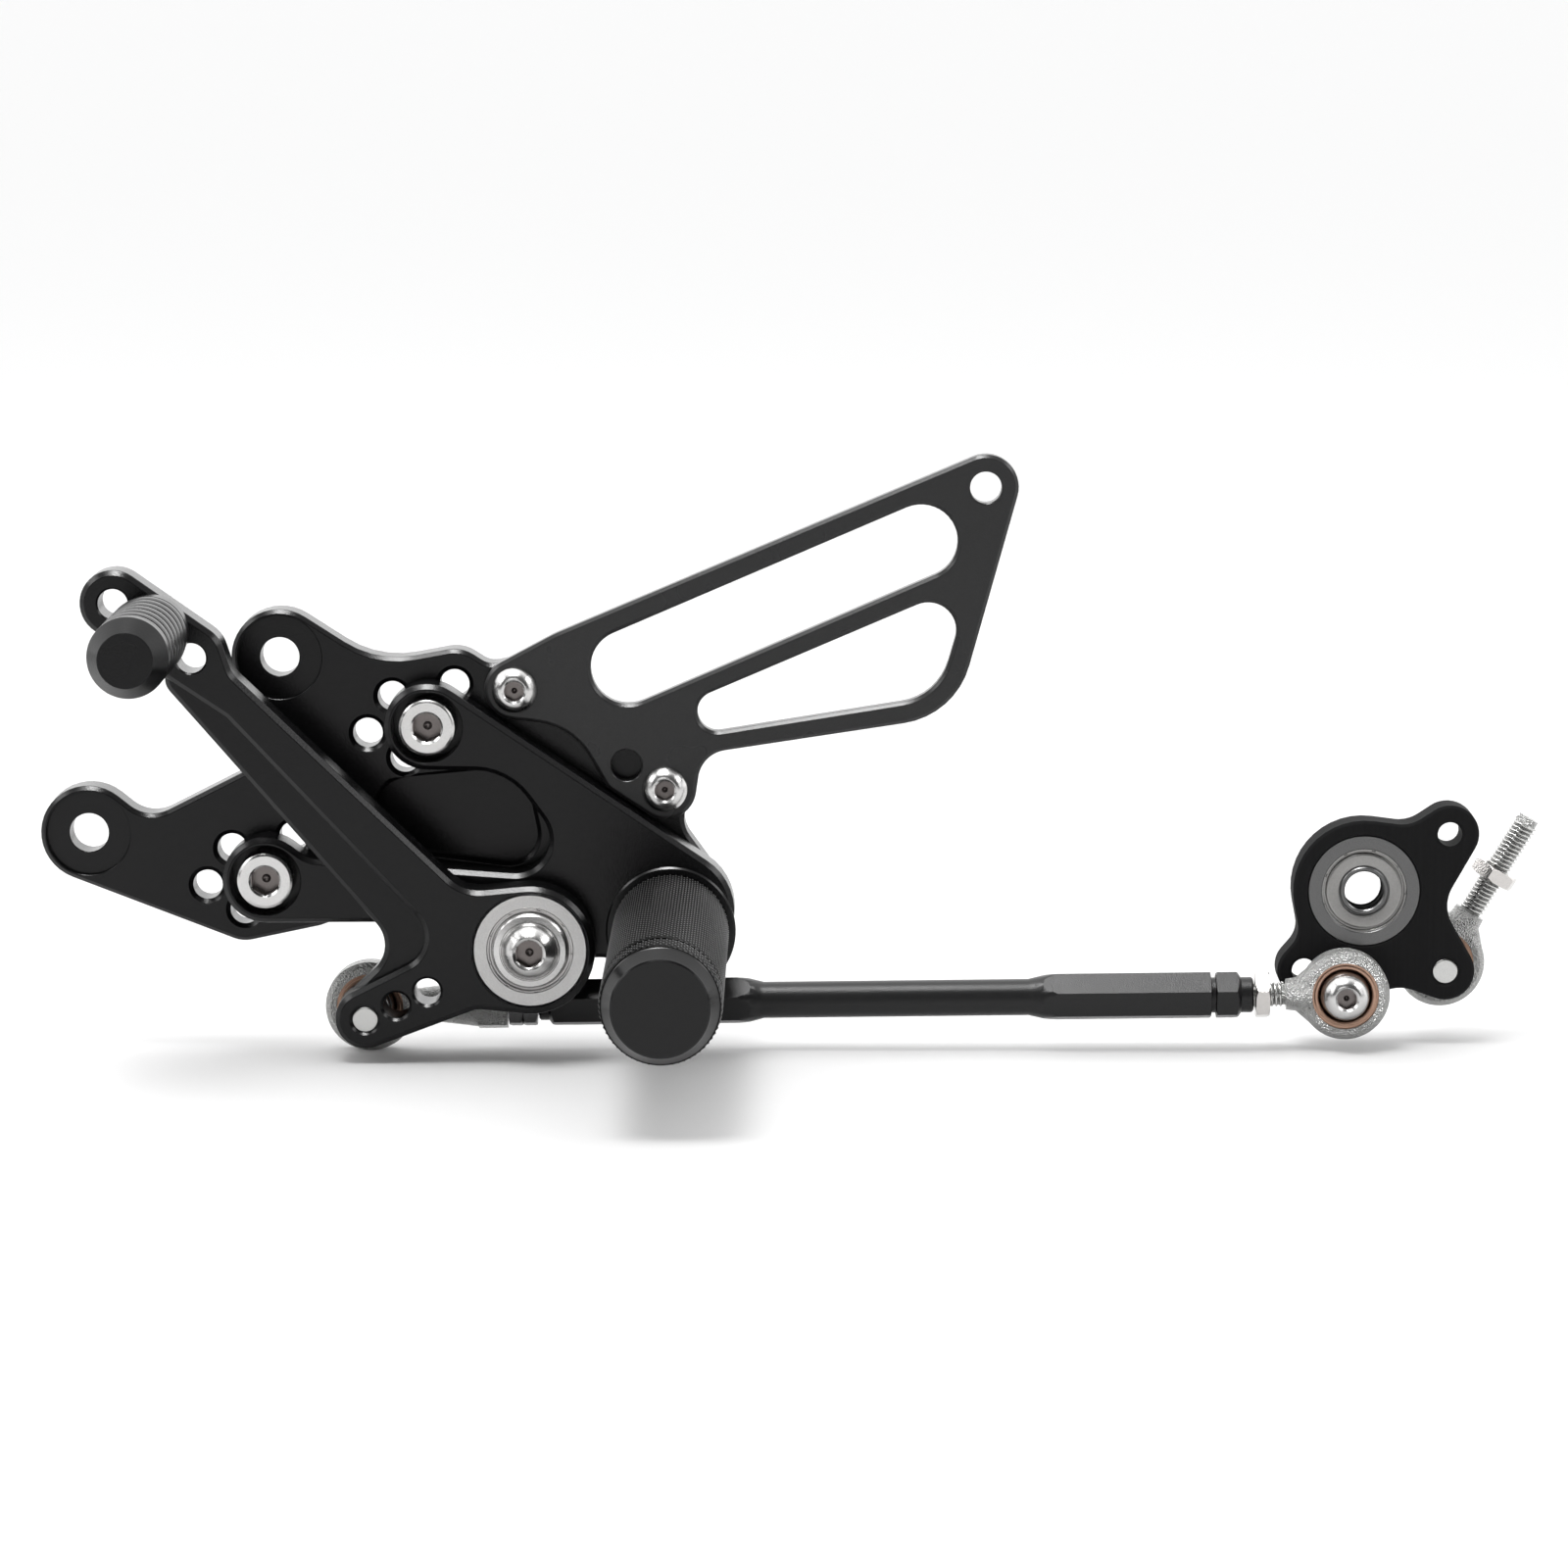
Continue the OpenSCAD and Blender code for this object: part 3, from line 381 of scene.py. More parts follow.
def shade(o, angle=30):
    """Smooth shading that keeps edges above the angle, and keeps large flat faces flat."""
    activate(o)
    bpy.ops.object.shade_smooth_by_angle(angle=math.radians(angle))
    m = o.modifiers.new("flat faces stay flat", "WEIGHTED_NORMAL")
    m.mode, m.weight, m.keep_sharp = "FACE_AREA", 50, True
    apply(o)


def finish(o, paint, body, node, slot=None):
    """Paints a finished piece, hangs it on the empty of the body it rides on, and hides the CAD
    node it stands for.
    """
    o.data.materials.clear()
    o.data.materials.append(PAINTS[paint])
    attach(o, body)
    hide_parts(node)
    slot or paint


def join(name, *objects):
    activate(*objects)
    if len(objects) > 1:
        bpy.ops.object.join()
    o = bpy.context.object
    o.name = o.data.name = name
    return o


def pick(o, test, kind="verts"):
    """Selects, in edit mode, the vertices, edges or faces that pass the test."""
    bpy.ops.mesh.select_mode(type={"verts": "VERT", "edges": "EDGE", "faces": "FACE"}[kind])
    bpy.ops.mesh.select_all(action="DESELECT")
    mesh = bmesh.from_edit_mesh(o.data)
    for part in getattr(mesh, kind):
        if test(part):
            part.select_set(True)
    bmesh.update_edit_mesh(o.data)


def distance(point, place):
    """How far a point in metres is from the Y axis through a place in millimetres, in metres."""
    return math.hypot(point.x - place[0] * MM, point.z - place[1] * MM)


def turned(name, place, rings, sides=64, closed=False):
    """A piece turned about the Y axis through place. rings are (radius, y) in millimetres, each one
    extruded from the one before. A closed piece joins its last ring to its first."""
    x, z = place[0] * MM, place[1] * MM
    r, y = rings[0]
    activate()
    bpy.ops.mesh.primitive_circle_add(vertices=sides, radius=r * MM, fill_type="NOTHING",
                                      location=(x, y * MM, z), rotation=(math.pi / 2, 0, 0))
    o = bpy.context.object
    o.name = o.data.name = name
    bpy.ops.object.transform_apply(location=True, rotation=True, scale=True)
    bpy.ops.object.mode_set(mode="EDIT")
    bpy.ops.mesh.select_mode(type="VERT")
    bpy.ops.mesh.select_all(action="SELECT")
    for wide, far in rings[1:]:
        bpy.ops.mesh.extrude_region_move(TRANSFORM_OT_translate={"value": (0, (far - y) * MM, 0)})
        k = wide / r
        bpy.ops.transform.resize(value=(k, 1, k), center_override=(x, far * MM, z))
        r, y = wide, far

    def on_ring(v, ring):
        return (abs(v.co.y - ring[1] * MM) < TOUCH
                and abs(distance(v.co, place) - ring[0] * MM) < TOUCH)

    if closed:
        pick(o, lambda v: on_ring(v, rings[0]) or on_ring(v, rings[-1]))
        bpy.ops.mesh.bridge_edge_loops()
    else:
        for end in (rings[0], rings[-1]):
            pick(o, lambda v: on_ring(v, end))
            bpy.ops.mesh.edge_face_add()
    bpy.ops.mesh.select_all(action="SELECT")
    bpy.ops.mesh.normals_make_consistent(inside=False)
    bpy.ops.object.mode_set(mode="OBJECT")
    return o


def cut(o, tool):
    m = o.modifiers.new("cut", "BOOLEAN")
    m.operation, m.solver, m.object = "DIFFERENCE", "EXACT", tool
    apply(o)
    bpy.data.objects.remove(tool)


def hexagon_socket(o, place, flats, mouth, depth):
    """A hexagon socket from the face at y = mouth, with a drilled hollow in its floor."""
    x, z = place[0] * MM, place[1] * MM
    activate()
    bpy.ops.mesh.primitive_cylinder_add(vertices=6, radius=flats / 2 / math.cos(math.pi / 6) * MM,
                                        depth=(depth + 1) * MM, rotation=(math.pi / 2, 0, 0),
                                        location=(x, (mouth + (depth - 1) / 2) * MM, z))
    cut(o, bpy.context.object)
    drill_r, point_r, bottom = flats * 0.17, flats * 0.03, mouth + depth
    cut(o, turned("drill", place, [(drill_r, bottom - 0.1), (drill_r, bottom + 0.3),
                                   (point_r, bottom + 0.7)], 24))


def painted_socket_shade(o, places, reach, mouth, deepest=4.5):
    """Paints shade into the hexagon sockets: their inside gets a far darker steel colour than the
    heads have, and a slightly rougher finish.
    """
    o.data.materials.append(PAINTS["socket"])
    for face in o.data.polygons:
        inside = any(distance(face.center, place) < reach * MM for place in places)
        if inside and 0 < face.center.y - mouth * MM < deepest * MM:
            face.material_index = 1


def from_cad(node, name=None):
    """A copy of a CAD node, its triangles joined into flat faces."""
    activate(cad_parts[node])
    bpy.ops.object.duplicate()
    o = bpy.context.object
    o.name = o.data.name = name or node + "_look"
    if o.data.has_custom_normals:
        bpy.ops.mesh.customdata_custom_splitnormals_clear()
    bpy.ops.object.mode_set(mode="EDIT")
    bpy.ops.mesh.select_all(action="SELECT")
    bpy.ops.mesh.remove_doubles(threshold=1e-5)
    bpy.ops.mesh.dissolve_limited(angle_limit=math.radians(0.5))
    bpy.ops.object.mode_set(mode="OBJECT")
    return o


# Plates

def flat_regions(mesh, sign):
    """Connected sets of faces that look along -Y (sign -1) or +Y (sign 1)."""
    left = {f for f in mesh.faces if f.normal.y * sign > 0.999}
    while left:
        found, front = set(), [left.pop()]
        while front:
            f = front.pop()
            found.add(f)
            near = {g for e in f.edges for g in e.link_faces if g in left}
            left -= near
            front.extend(near)
        yield found


def edge_steps(width):
    """The chamfer's section: (distance in from the wall, depth below the face), with its two
    corners rounded off."""
    soft = min(0.10, 0.4 * width)
    near = 0.707 * soft
    far = width - near
    return [(0, width + soft), (near, far), (far, near), (width + soft, 0)]


def shift_in(a, b, k):
    """Step k of the section at a corner between two edges, each (wall's normal, width)."""
    (na, wa), (nb, wb) = a, b
    (ia, da), (ib, db) = edge_steps(wa)[k], edge_steps(wb)[k]
    turn = na.x * nb.z - na.z * nb.x
    slight, clear = 0.05, 0.5
    if abs(turn) > slight and (wa == wb or abs(turn) > clear):
        move = Vector((-(ia * nb.z - ib * na.z) / turn, 0, -(ib * na.x - ia * nb.x) / turn))
    else:
        move = -(na + nb).normalized() * (ia + ib) / 2
    return move * MM, (da + db) / 2 * MM


def edge_width(edge, wall, sign, width, holes, small):
    """The chamfer's width along an edge: small at a hole, and 0 where the wall slopes or rises."""
    slope, margin = 0.05, 0.0003
    start = edge.verts[0].co
    if abs(wall.normal.y) > slope or (wall.calc_center_median().y - start.y) * sign > 0:
        return 0
    for x, z, r in reversed(holes):
        if all(distance(v.co, (x, z)) < abs(r) * MM + margin for v in edge.verts):
            return 0 if r < 0 else small
    return width


def outline(region, sign, width, holes, small):
    """The edges round a flat region, and for each of their ends the (wall's normal, width) of both
    edges that meet there."""
    rim, corners = [], {}
    for e in {e for f in region for e in f.edges}:
        walls = [f for f in e.link_faces if f not in region]
        if len(walls) != 1 or len(e.link_faces) != 2:
            continue
        w = edge_width(e, walls[0], sign, width, holes, small)
        rim.append(e)
        for v in e.verts:
            corners.setdefault(v, []).append((walls[0].normal.copy(), w))
    return rim, corners


def corner_points(mesh, corners, sign):
    """The four points of the section at each corner. The corner's own vertex becomes the first."""
    points = {}
    for v, pair in corners.items():
        if len(pair) != 2 or (pair[0][1] == 0 and pair[1][1] == 0):
            points[v] = [v] * 4
            continue
        spots = []
        for k in range(4):
            move, depth = shift_in(*pair, k)
            spots.append(v.co + move - Vector((0, sign * depth, 0)))
        v.co = spots[0]
        points[v] = [v] + [mesh.verts.new(spot) for spot in spots[1:]]
    return points


def strips(mesh, rim, points):
    """Lays the three strips of the section along every rim edge. Returns their innermost edges."""
    tops = []
    for e in rim:
        a, b = (points[v] for v in e.verts)
        for k in range(3):
            loop = list(dict.fromkeys((a[k], b[k], b[k + 1], a[k + 1])))
            if len(loop) > 2:
                mesh.faces.new(loop)
        tops.append(mesh.edges.get((a[3], b[3])) or mesh.edges.new((a[3], b[3])))
    return tops


def chamfer(o, width, holes, small=0.3):
    """Chamfers the plate's outer edges by width and the edges of its holes by less.
    holes are (x, z, radius) in millimetres, and a radius below 0 leaves that hole's edges sharp."""
    mesh = bmesh.new()
    mesh.from_mesh(o.data)
    for sign in (-1, 1):
        for region in list(flat_regions(mesh, sign)):
            rim, corners = outline(region, sign, width, holes, small)
            points = corner_points(mesh, corners, sign)
            inner = {e for f in region for e in f.edges if e not in rim}
            bmesh.ops.delete(mesh, geom=list(region), context="FACES_ONLY")
            bmesh.ops.delete(mesh, geom=[e for e in inner if not e.link_faces], context="EDGES")
            tops = strips(mesh, rim, points)
            bmesh.ops.triangle_fill(mesh, use_beauty=True, use_dissolve=False, edges=tops)
    bmesh.ops.recalc_face_normals(mesh, faces=mesh.faces)
    mesh.to_mesh(o.data)
    mesh.free()
    shade(o, 20)


def grid_places():
    """The threaded adjuster holes round the two plate bolts."""
    pitch, slope = 10.3, math.radians(34)
    a = (pitch * math.cos(slope), -pitch * math.sin(slope))
    b = (pitch * math.sin(slope), pitch * math.cos(slope))
    for x, z in (UPPER_BOLT, LOWER_BOLT):
        for i, j in ((0, 0), (1, 0), (0, 1), (1, 2)):
            yield (x + (i - 1) * a[0] + (j - 1) * b[0], z + (i - 1) * a[1] + (j - 1) * b[1])


def row(start, step, counts):
    """Places in a straight row, as (x, z) in millimetres."""
    return [(start[0] + i * step[0], start[1] + i * step[1]) for i in counts]


def rims(places, radius):
    """Holes for chamfer(), all of one radius."""
    return [(*place, radius) for place in places]


def plates():
    """The five flat milled pieces, with chamfers as wide as the photo shows."""
    spot_face, bolt_hole, adjuster, counterbore = 9.8, 6.0, 5.2, 9.2
    base = from_cad("base_plate")
    chamfer(base, 0.95, rims((UPPER_MOUNT, LOWER_MOUNT), spot_face)
            + rims((UPPER_BOLT, LOWER_BOLT), -bolt_hole) + rims(grid_places(), adjuster)
            + rims((GUARD_A, GUARD_B), 3.3), small=0.15)
    finish(base, "plate_black", "root", "base_plate")
    peg = from_cad("peg_plate")
    chamfer(peg, 1.15, rims((UPPER_BOLT, LOWER_BOLT), -counterbore) + rims((PIVOT, FOOTPEG), 4.4))
    finish(peg, "plate_black", "root", "peg_plate")
    guard = from_cad("heel_guard")
    chamfer(guard, 0.8, rims((GUARD_A, GUARD_B), 3.6) + rims((GUARD_TIP, GUARD_LOW_HOLE), 3.9))
    finish(guard, "guard_black", "root", "heel_guard")
    lever = from_cad("shift_lever")
    chamfer(lever, 1.15, rims((PIVOT,), 13.6) + rims(row(TOE, TOE_STEP, (-1, 0, 1)), 4.2)
            + rims(row(FRONT_BALL, LINK_STEP, range(3)), 4.0))
    finish(lever, "plate_black", "shift_lever_body", "shift_lever")
    relay = from_cad("relay_plate")
    chamfer(relay, 0.6, rims((RELAY,), 13.3)
            + rims((REAR_BALL, STUD_BALL, RELAY_LOW_HOLE, RELAY_TOP_HOLE), 4))
    finish(relay, "relay_black", "relay_body", "relay_plate", "plate_black")


# Screws

def cap_bolts():
    """The two plate bolts: cap heads with a bevelled rim and a countersunk socket."""
    seat, head, shank = -11.6, -19.6, 4
    made = []
    for place in (UPPER_BOLT, LOWER_BOLT):
        o = turned("bolt", place, [(3.4, -0.8), (shank, -1.4), (shank, seat), (6.35, seat),
                                   (6.5, seat - 0.15), (6.5, head + 0.85), (6.35, head + 0.4),
                                   (5.75, head), (3.75, head), (3.3, head + 0.5)])
        hexagon_socket(o, place, 6, head, 4)
        made.append(o)
    o = join("cap_bolts", *made)
    bevel(o, 0.08)
    shade(o, 32)
    finish(o, "stainless", "root", "plate_bolts")
    painted_socket_shade(o, (UPPER_BOLT, LOWER_BOLT), 3.5, head + 0.3)


def buttons(name, node, body, places, face, tip):
    """M6 screws whose domed heads sit on y = face and whose ends are at y = tip."""
    height, shank = 3.25, 3
    dome = [(5.2, 0), (5.3, 0.12), (5.3, 0.55), (5.1, 1.15), (4.75, 1.75), (4.25, 2.4), (3.6, 2.95),
            (2.95, height), (2.75, height), (2.3, 2.85)]
    made = []
    for place in places:
        o = turned("button", place, [(2.6, tip), (shank, tip - 0.5), (shank, face)]
                   + [(r, face - h) for r, h in dome], 48)
        hexagon_socket(o, place, 4, face - height, 2.1)
        made.append(o)
    o = join(name, *made)
    bevel(o, 0.06, angle=34)
    shade(o, 34)
    finish(o, "stainless", body, node)
    painted_socket_shade(o, places, 2.35, face - 2.9)


def pivot_button():
    """The lever's shoulder screw: a wide flange under a high domed head."""
    face, shank, shoulder = LEVER_BEARING, 4, 4.48
    dome = [(8.5, 0), (8.6, 0.1), (8.6, 0.45), (8.15, 0.95), (6.95, 1.1), (6.8, 0.95), (6.6, 1.1),
            (6.4, 1.67), (6.1, 2.32), (5.7, 2.98), (5.2, 3.62), (4.6, 4.23), (4.0, 4.72),
            (3.8, 4.85), (3.65, 4.8), (3.1, 4.2)]
    o = turned("pivot_button", PIVOT, [(3.4, -9.8), (shank, -10.4), (shank, face + BEARING_WIDTH),
                                       (shoulder, face + BEARING_WIDTH - 0.1), (shoulder, face)]
               + [(r, face - h) for r, h in dome], 72)
    hexagon_socket(o, PIVOT, 5.6, face - 4.85, 3)
    bevel(o, 0.06, angle=34)
    shade(o)
    finish(o, "stainless", "root", "pivot_screw")
    painted_socket_shade(o, (PIVOT,), 3.25, face - 4.4)


def screws():
    cap_bolts()
    buttons("guard_buttons", "guard_screws", "root", (GUARD_A, GUARD_B), GUARD_FACE, -0.8)
    buttons("rear_link_button", "rear_link_screw", "relay_body", (REAR_BALL,), LINK_Y - 4.5, 0.7)
    pivot_button()


# Bearings

def mirrored(rings, front):
    """The same rings, seen from the bearing's other face."""
    return [(r, 2 * front + BEARING_WIDTH - y) for r, y in rings]


def shield(name, place, rings, lip, turn):
    """One shield with nine crimp marks pressed into its rim, which is at y = lip."""
    crimp_radius, crimp_depth, sideways = 9.58, 0.5, 1e-4
    o = turned(name, place, rings, SHIELD_SIDES, closed=True)
    bpy.ops.object.mode_set(mode="EDIT")

    def crimp(face):
        c = face.calc_center_median()
        angle = math.degrees(math.atan2(c.z - place[1] * MM, c.x - place[0] * MM))
        side = angle // (360 / SHIELD_SIDES)
        return (abs(c.y - lip * MM) < NEAR
                and abs(distance(c, place) - crimp_radius * MM) < sideways
                and (side + turn) % (SHIELD_SIDES // CRIMP_MARKS) == 0)

    pick(o, crimp, "faces")
    inwards = crimp_depth * MM if rings[0][1] > lip else -crimp_depth * MM
    bpy.ops.mesh.extrude_region_move(TRANSFORM_OT_translate={"value": (0, inwards, 0)})
    bpy.ops.object.mode_set(mode="OBJECT")
    return o


def bearing(name, place, front, ring_paint, shield_paint, outer_body, inner_body):
    """A 9 x 26 x 8 mm bearing with its front face at y = front. Its balls and cage stay as CAD."""
    back = front + BEARING_WIDTH
    outer = [(13, front + 0.3), (12.75, front), (9.95, front), (9.78, front + 0.15),
             (9.78, back - 0.15), (9.95, back), (12.75, back), (13, back - 0.3)]
    inner = [(4.5, front + 0.35), (4.85, front), (5.3, front), (5.6, front + 0.3),
             (5.6, front + 0.9), (6.6, front + 0.9), (6.6, back - 0.9), (5.6, back - 0.9),
             (5.6, back - 0.3), (5.3, back), (4.85, back), (4.5, back - 0.35)]
    for kind, rings, sides, body in (("outer", outer, 96, outer_body),
                                     ("inner", inner, 64, inner_body)):
        o = turned(name + "_" + kind, place, rings, sides, closed=True)
        bevel(o, 0.05)
        shade(o)
        finish(o, ring_paint, body, name + "_" + kind + "_ring", "bearing_steel")
    rim = [(r, front + y) for r, y in (
        (9.76, 1.2), (9.76, 0.14), (9.4, 0.14), (9.33, 0.25), (9.3, 1.05), (8.86, 1.05),
        (8.83, 0.45), (8.55, 0.25), (8.2, 0.2), (6.2, 0.3), (5.9, 0.42), (5.9, 0.72),
        (8.55, 0.72), (8.65, 1.2))]
    o = join(name + "_shield_pair",
             shield("front_shield", place, rim, front + 0.14, 1),
             shield("back_shield", place, mirrored(rim, front), back - 0.14, 3))
    bevel(o, 0.03, segments=1)
    shade(o)
    finish(o, shield_paint, outer_body, name + "_shields", "bearing_steel")


# Footpeg and toe peg

def knurl(o, front, back, skip=None):
    """Raises a diamond knurl on the footpeg's turned band between two Y places."""
    rows = 2 * round((back - front) / KNURL_PITCH)
    activate(o)
    bpy.ops.object.mode_set(mode="EDIT")

    def on_band(v):
        return abs(distance(v.co, FOOTPEG) - KNURL_RADIUS * MM) < NEAR

    def along(e):
        length = abs(e.verts[0].co.y - e.verts[1].co.y)
        return abs(length - (back - front) * MM) < 1e-5 and all(on_band(v) for v in e.verts)

    def tip(v):
        step = (v.co.y / MM - front) / (back - front) * rows
        angle = math.atan2(v.co.z - FOOTPEG[1] * MM, v.co.x - FOOTPEG[0] * MM)
        column = angle / math.tau * KNURL_SIDES
        return (on_band(v) and 0.5 < step < rows - 0.5
                and (round(step) + round(column)) % 2 == 1 and not (skip and skip(v)))

    pick(o, along, "edges")
    bpy.ops.mesh.subdivide(number_cuts=rows - 1)
    pick(o, tip)
    k = (KNURL_RADIUS + KNURL_HEIGHT) / KNURL_RADIUS
    bpy.ops.transform.resize(value=(k, 1, k),
                             center_override=(FOOTPEG[0] * MM, 0, FOOTPEG[1] * MM))
    pick(o, lambda f: len(f.verts) == 4, "faces")
    bpy.ops.mesh.quads_convert_to_tris(quad_method="SHORTEST_DIAGONAL")
    bpy.ops.object.mode_set(mode="OBJECT")


def footpeg():
    """The flange, the knurled barrel, and the end cap with a smooth pad under its knurled band."""
    bore, rim, thick = 4.25, 14.9, 1.5
    flange = turned("peg_flange", FOOTPEG, [
        (bore, PEG_FACE), (rim - 0.15, PEG_FACE), (rim, PEG_FACE - 0.15), (rim, PEG_FACE - 1.1),
        (14.5, PEG_FACE - thick), (bore, PEG_FACE - thick)], 96, closed=True)
    shade(flange, 20)
    finish(flange, "cap_black", "root", "footpeg_flange", "peg_black")

    root, front, hollow = -20.5, -96.4, 9
    floor = front + 14
    barrel = turned("knurled_barrel", FOOTPEG, [
        (bore, root), (KNURL_RADIUS, root), (KNURL_RADIUS, front), (hollow, front),
        (hollow, floor), (bore, floor)], KNURL_SIDES, closed=True)
    knurl(barrel, front, root)
    finish(barrel, "peg_black", "root", "footpeg_barrel")

    band, nose, face, pad = -97.8, -106, -110, 2.4
    ring = turned("end_cap_knurl", FOOTPEG, [
        (8.95, band + 5), (8.95, band), (KNURL_RADIUS, band), (KNURL_RADIUS, nose), (10, nose),
        (10, band + 5)], KNURL_SIDES, closed=True)
    knurl(ring, nose, band,
          skip=lambda v: abs(v.co.x - FOOTPEG[0] * MM) < pad * MM and v.co.z < FOOTPEG[1] * MM)
    finish(ring, "peg_black", "root", "footpeg_end_cap")

    cap = turned("end_cap", FOOTPEG, [
        (10.5, nose + 0.5), (12.6, nose + 0.4), (12.85, nose), (12.75, nose - 0.25),
        (12.5, nose - 0.5), (11.0, face + 0.75), (10.8, face + 0.3), (10.45, face + 0.02),
        (10.2, face)], KNURL_SIDES)
    shade(cap, 18)
    finish(cap, "cap_black", "root", "footpeg_end_cap", "peg_black")


def toe_peg():
    """Seven narrow grooves between rounded ridges, and a long cone to the flat end."""
    grooves, grooved, first, length = 7, 37, 6, 49
    pitch = grooved / grooves
    rings = [(8.3, 0), (8.45, 0.15), (8.45, 5.4)]
    for i in range(grooves):
        s = first + i * pitch
        rings += [(8.72, s), (7.7, s + 0.08 * pitch), (7.7, s + 0.24 * pitch),
                  (8.75, s + 0.30 * pitch), (8.93, s + 0.42 * pitch), (9.0, s + 0.64 * pitch),
                  (8.92, s + 0.86 * pitch)]
    rings += [(8.98, 43.2), (9.0, 43.4), (9.0, 43.9), (8.95, 44.15), (6.15, 48.9), (6.0, length)]
    o = turned("grooved_toe_peg", TOE, [(r, LEVER_FACE - s) for r, s in rings], 96)
    shade(o, 24)
    finish(o, "toe_black", "shift_lever_body", "toe_peg")


# Linkage

def on_axis(centre, y, slope):
    """Frame with its X along a rod: from the ball centre, sloping up to the back."""
    place = Matrix.Translation((centre[0] * MM, y * MM, centre[1] * MM))
    return place @ Matrix.Rotation(-math.radians(slope), 4, "Y")


def thread_ridge(name, start, end):
    """A helical ridge of triangular section about the local X axis, its ends closed."""
    activate()
    bpy.ops.mesh.primitive_circle_add(vertices=3, radius=1, fill_type="NOTHING",
                                      location=(0, 0, 0), rotation=(0, math.pi / 2, 0))
    o = bpy.context.object
    o.name = o.data.name = name
    bpy.ops.object.transform_apply(location=True, rotation=True, scale=True)
    half, foot = THREAD_PITCH * 0.48, THREAD_ROOT - 0.1
    corners = ((start, THREAD_CREST), (start - half, foot), (start + half, foot))
    for v, (x, r) in zip(o.data.vertices, corners):
        v.co = (x * MM, 0, r * MM)
    m = o.modifiers.new("thread", "SCREW")
    m.axis, m.angle, m.steps, m.render_steps = "X", math.tau, 24, 24
    m.iterations = round((end - start) / THREAD_PITCH)
    m.screw_offset = THREAD_PITCH * MM
    m.use_merge_vertices = False
    apply(o)
    bpy.ops.object.mode_set(mode="EDIT")
    bpy.ops.mesh.select_all(action="SELECT")
    bpy.ops.mesh.remove_doubles(threshold=TOUCH)
    bpy.ops.mesh.fill_holes(sides=4)
    bpy.ops.mesh.select_all(action="SELECT")
    bpy.ops.mesh.normals_make_consistent(inside=False)
    bpy.ops.object.mode_set(mode="OBJECT")
    return o


def flare():
    """The shoulder that widens from a rod end's neck to its eye, about the local X axis. At the eye
    it is flattened to the eye's thickness."""
    wide, narrow, length, middle, flattened = 7.0, 2.95, 4.55, 10.03, 3.2
    activate()
    bpy.ops.mesh.primitive_cone_add(vertices=48, radius1=wide * MM, radius2=narrow * MM,
                                    depth=length * MM, location=(middle * MM, 0, 0),
                                    rotation=(0, math.pi / 2, 0))
    o = bpy.context.object
    bpy.ops.object.transform_apply(location=True, rotation=True, scale=True)
    bpy.ops.object.mode_set(mode="EDIT")
    pick(o, lambda v: v.co.x < 10 * MM)
    bpy.ops.transform.resize(value=(1, flattened / wide, 1), center_override=(0, 0, 0))
    bpy.ops.object.mode_set(mode="OBJECT")
    return o


def rod_end(node, name, body, axis=None, shank=None):
    """A rod end's eye. With a shank, (neck, tip) along the axis, its thread is a real one on a
    thinner core."""
    o = from_cad(node, name)
    if shank:
        neck, tip = shank
        o.data.transform(axis.inverted())
        activate(o)
        bpy.ops.object.mode_set(mode="EDIT")
        pick(o, lambda v: v.co.x > neck * MM and math.hypot(v.co.y, v.co.z) < 3.05 * MM)
        k = THREAD_ROOT / THREAD_CREST
        bpy.ops.transform.resize(value=(1, k, k), center_override=(0, 0, 0))
        bpy.ops.object.mode_set(mode="OBJECT")
    bevel(o, 0.45, segments=3)
    if shank:
        o = join(name, o, flare())
        o.data.transform(axis)
        thread = thread_ridge(name + "_thread", neck + 0.8, tip - 1.3)
        thread.data.transform(axis)
    shade(o, 32)
    finish(o, "zinc", body, node)
    if shank:
        finish(thread, "thread_zinc", body, node, "zinc")


def liner(node, centre, y, body):
    """The copper-coloured race between a rod end's eye and its ball."""
    half = [(7.7, -2.9), (7.2, -2.9), (7.1, -3.3), (6.9, -3.4), (6.5, -3.35), (6.25, -3.0),
            (6.1, -2.5)]
    waist = 6.4
    rings = [(r, y + h) for r, h in half] + [(waist, y)] + [(r, y - h) for r, h in reversed(half)]
    o = turned(node + "_look", centre, rings, 72, closed=True)
    shade(o)
    finish(o, "bronze", body, node)


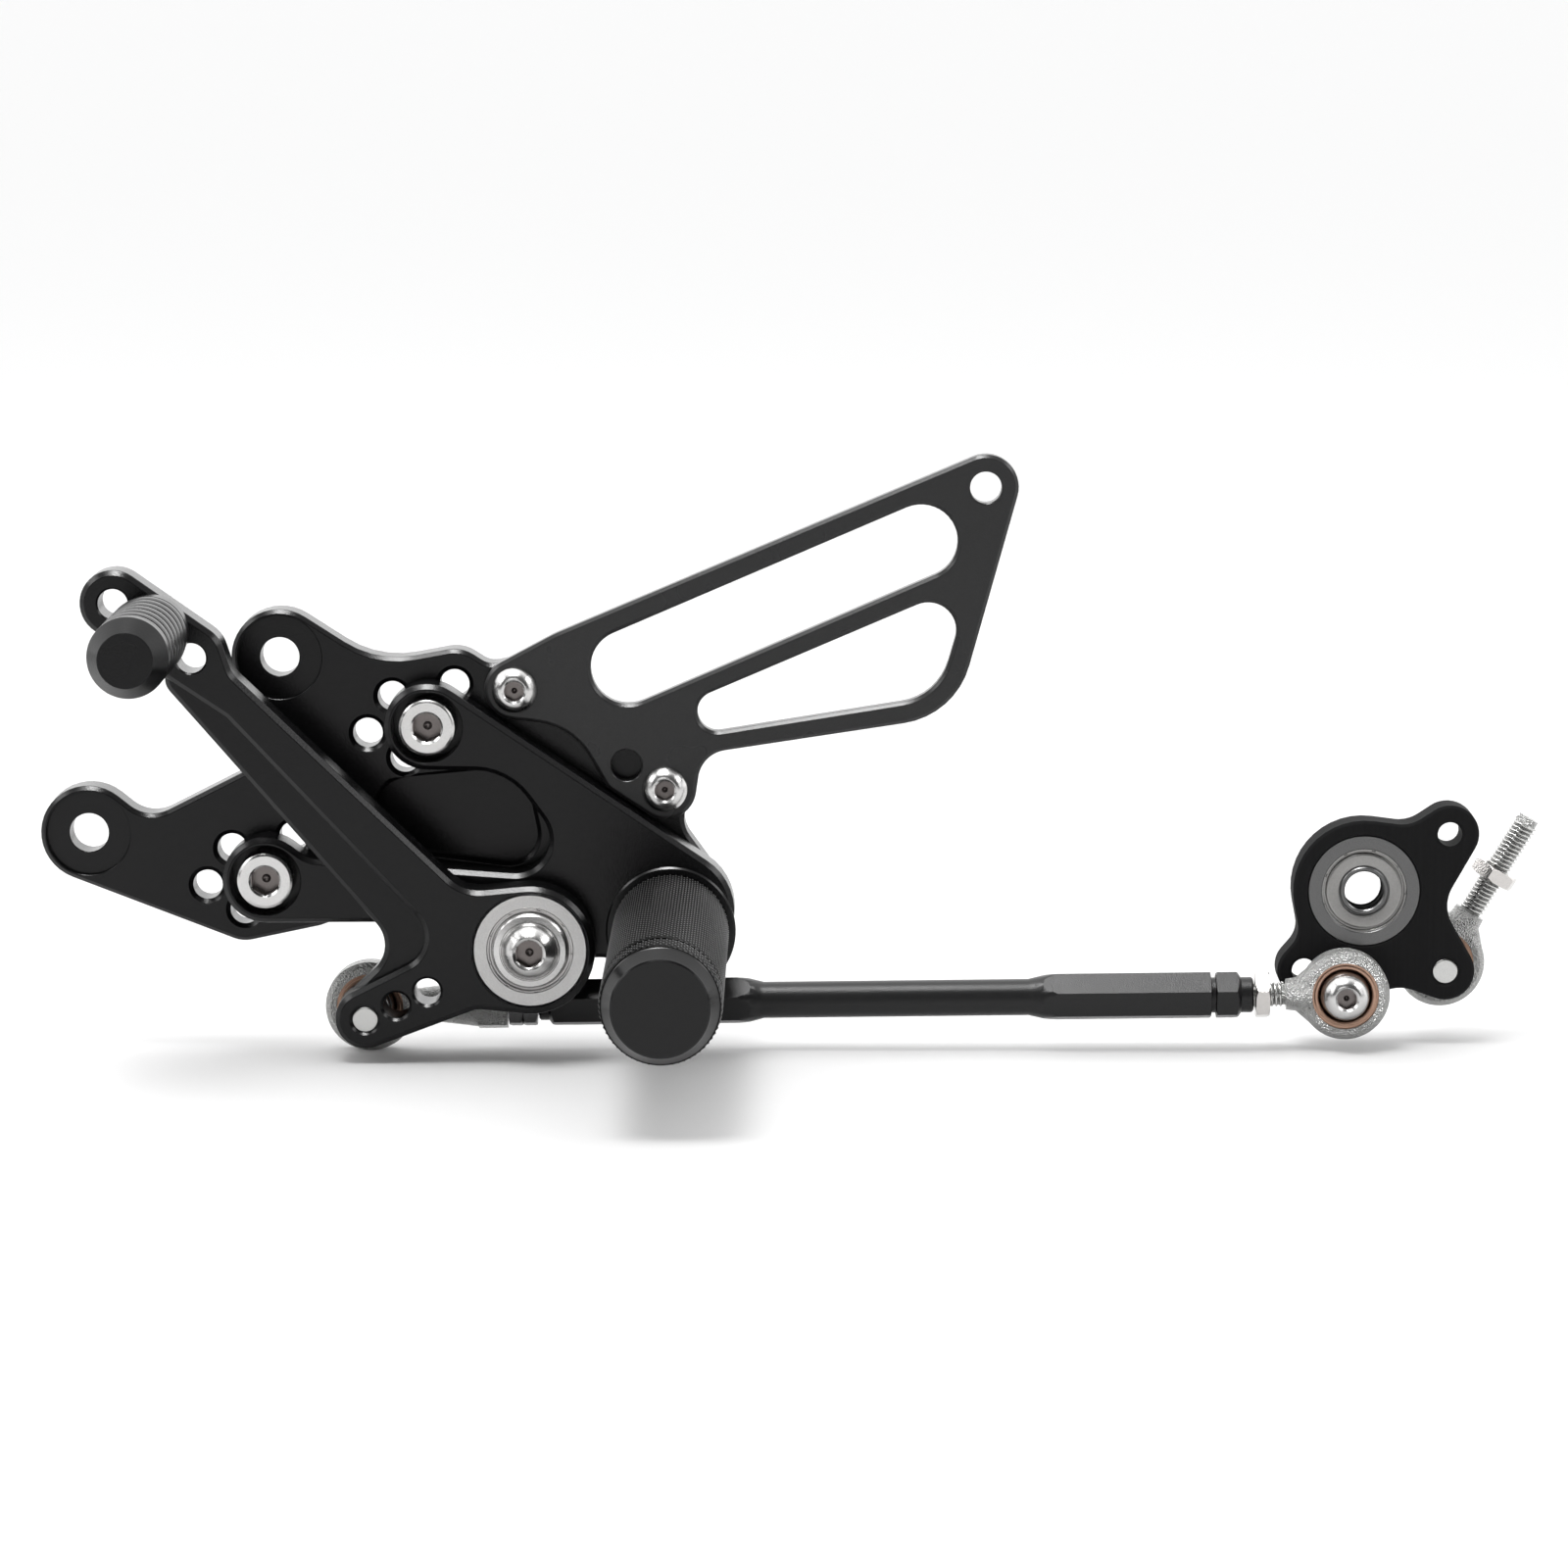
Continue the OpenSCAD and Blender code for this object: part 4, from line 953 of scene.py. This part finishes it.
def linkage():
    """The three rod ends and the races in their eyes."""
    liner("front_eye_liner", FRONT_BALL, LINK_Y, "link_rod_body")
    liner("rear_eye_liner", REAR_BALL, LINK_Y, "link_rod_body")
    liner("stud_eye_liner", STUD_BALL, STUD_Y, "stud_body")
    rear = (on_axis(FRONT_BALL, LINK_Y, LINK_TILT)
            @ Matrix.Translation((BALL_TO_BALL * MM, 0, 0)) @ Matrix.Rotation(math.pi, 4, "Z"))
    stud = on_axis(STUD_BALL, STUD_Y, STUD_ANGLE)
    rod_end("front_eye", "front_rod_end", "link_rod_body")
    rod_end("rear_eye", "rear_rod_end", "link_rod_body", rear, REAR_SHANK)
    rod_end("stud_eye", "stud_rod_end", "stud_body", stud, STUD_SHANK)


# Pieces that keep their CAD shape: node, paint, body, slot, and the rounding in millimetres
SIMPLE = (
    ("pivot_bush", "stainless", "root", "stainless", 0.1),
    ("toe_peg_screw", "stainless", "shift_lever_body", "stainless", 0.2),
    ("front_link_screw", "thread_zinc", "shift_lever_body", "stainless", 0.6),
    ("front_link_spacer", "stainless", "shift_lever_body", "stainless", 0.2),
    ("front_eye_ball", "ball_chrome", "shift_lever_body", "ball_chrome", 0),
    ("front_jam_nuts", "nut_grey", "link_rod_body", "nut_grey", 0.12),
    ("linkage_rod", "rod_grey", "link_rod_body", "rod_grey", 0.12),
    ("rear_jam_nut", "nut_zinc", "link_rod_body", "nut_grey", 0.12),
    ("rear_eye_ball", "ball_chrome", "relay_body", "ball_chrome", 0),
    ("stud_eye_ball", "ball_chrome", "relay_body", "ball_chrome", 0),
    ("stud_link_screw", "thread_zinc", "relay_body", "stainless", 0.6),
    ("stud_jam_nut", "nut_zinc", "stud_body", "nut_grey", 0.12),
)


def simple_pieces():
    for node, paint, body, slot, rounding in SIMPLE:
        o = from_cad(node)
        if rounding:
            bevel(o, rounding, angle=32)
        shade(o, 32)
        finish(o, paint, body, node, slot)


camera()
studio()
paints()
plates()
screws()
bearing("lever_bearing", PIVOT, LEVER_BEARING, "bearing_steel", "shield_steel",
        "shift_lever_body", "root")
# The relay bearing gets the darker steel paints, which are painted shade.
bearing("relay_bearing", RELAY, RELAY_BEARING, "relay_steel_painted_shade", "relay_shield_painted_shade",
        "relay_body", "relay_inner_body")
footpeg()
toe_peg()
linkage()
simple_pieces()
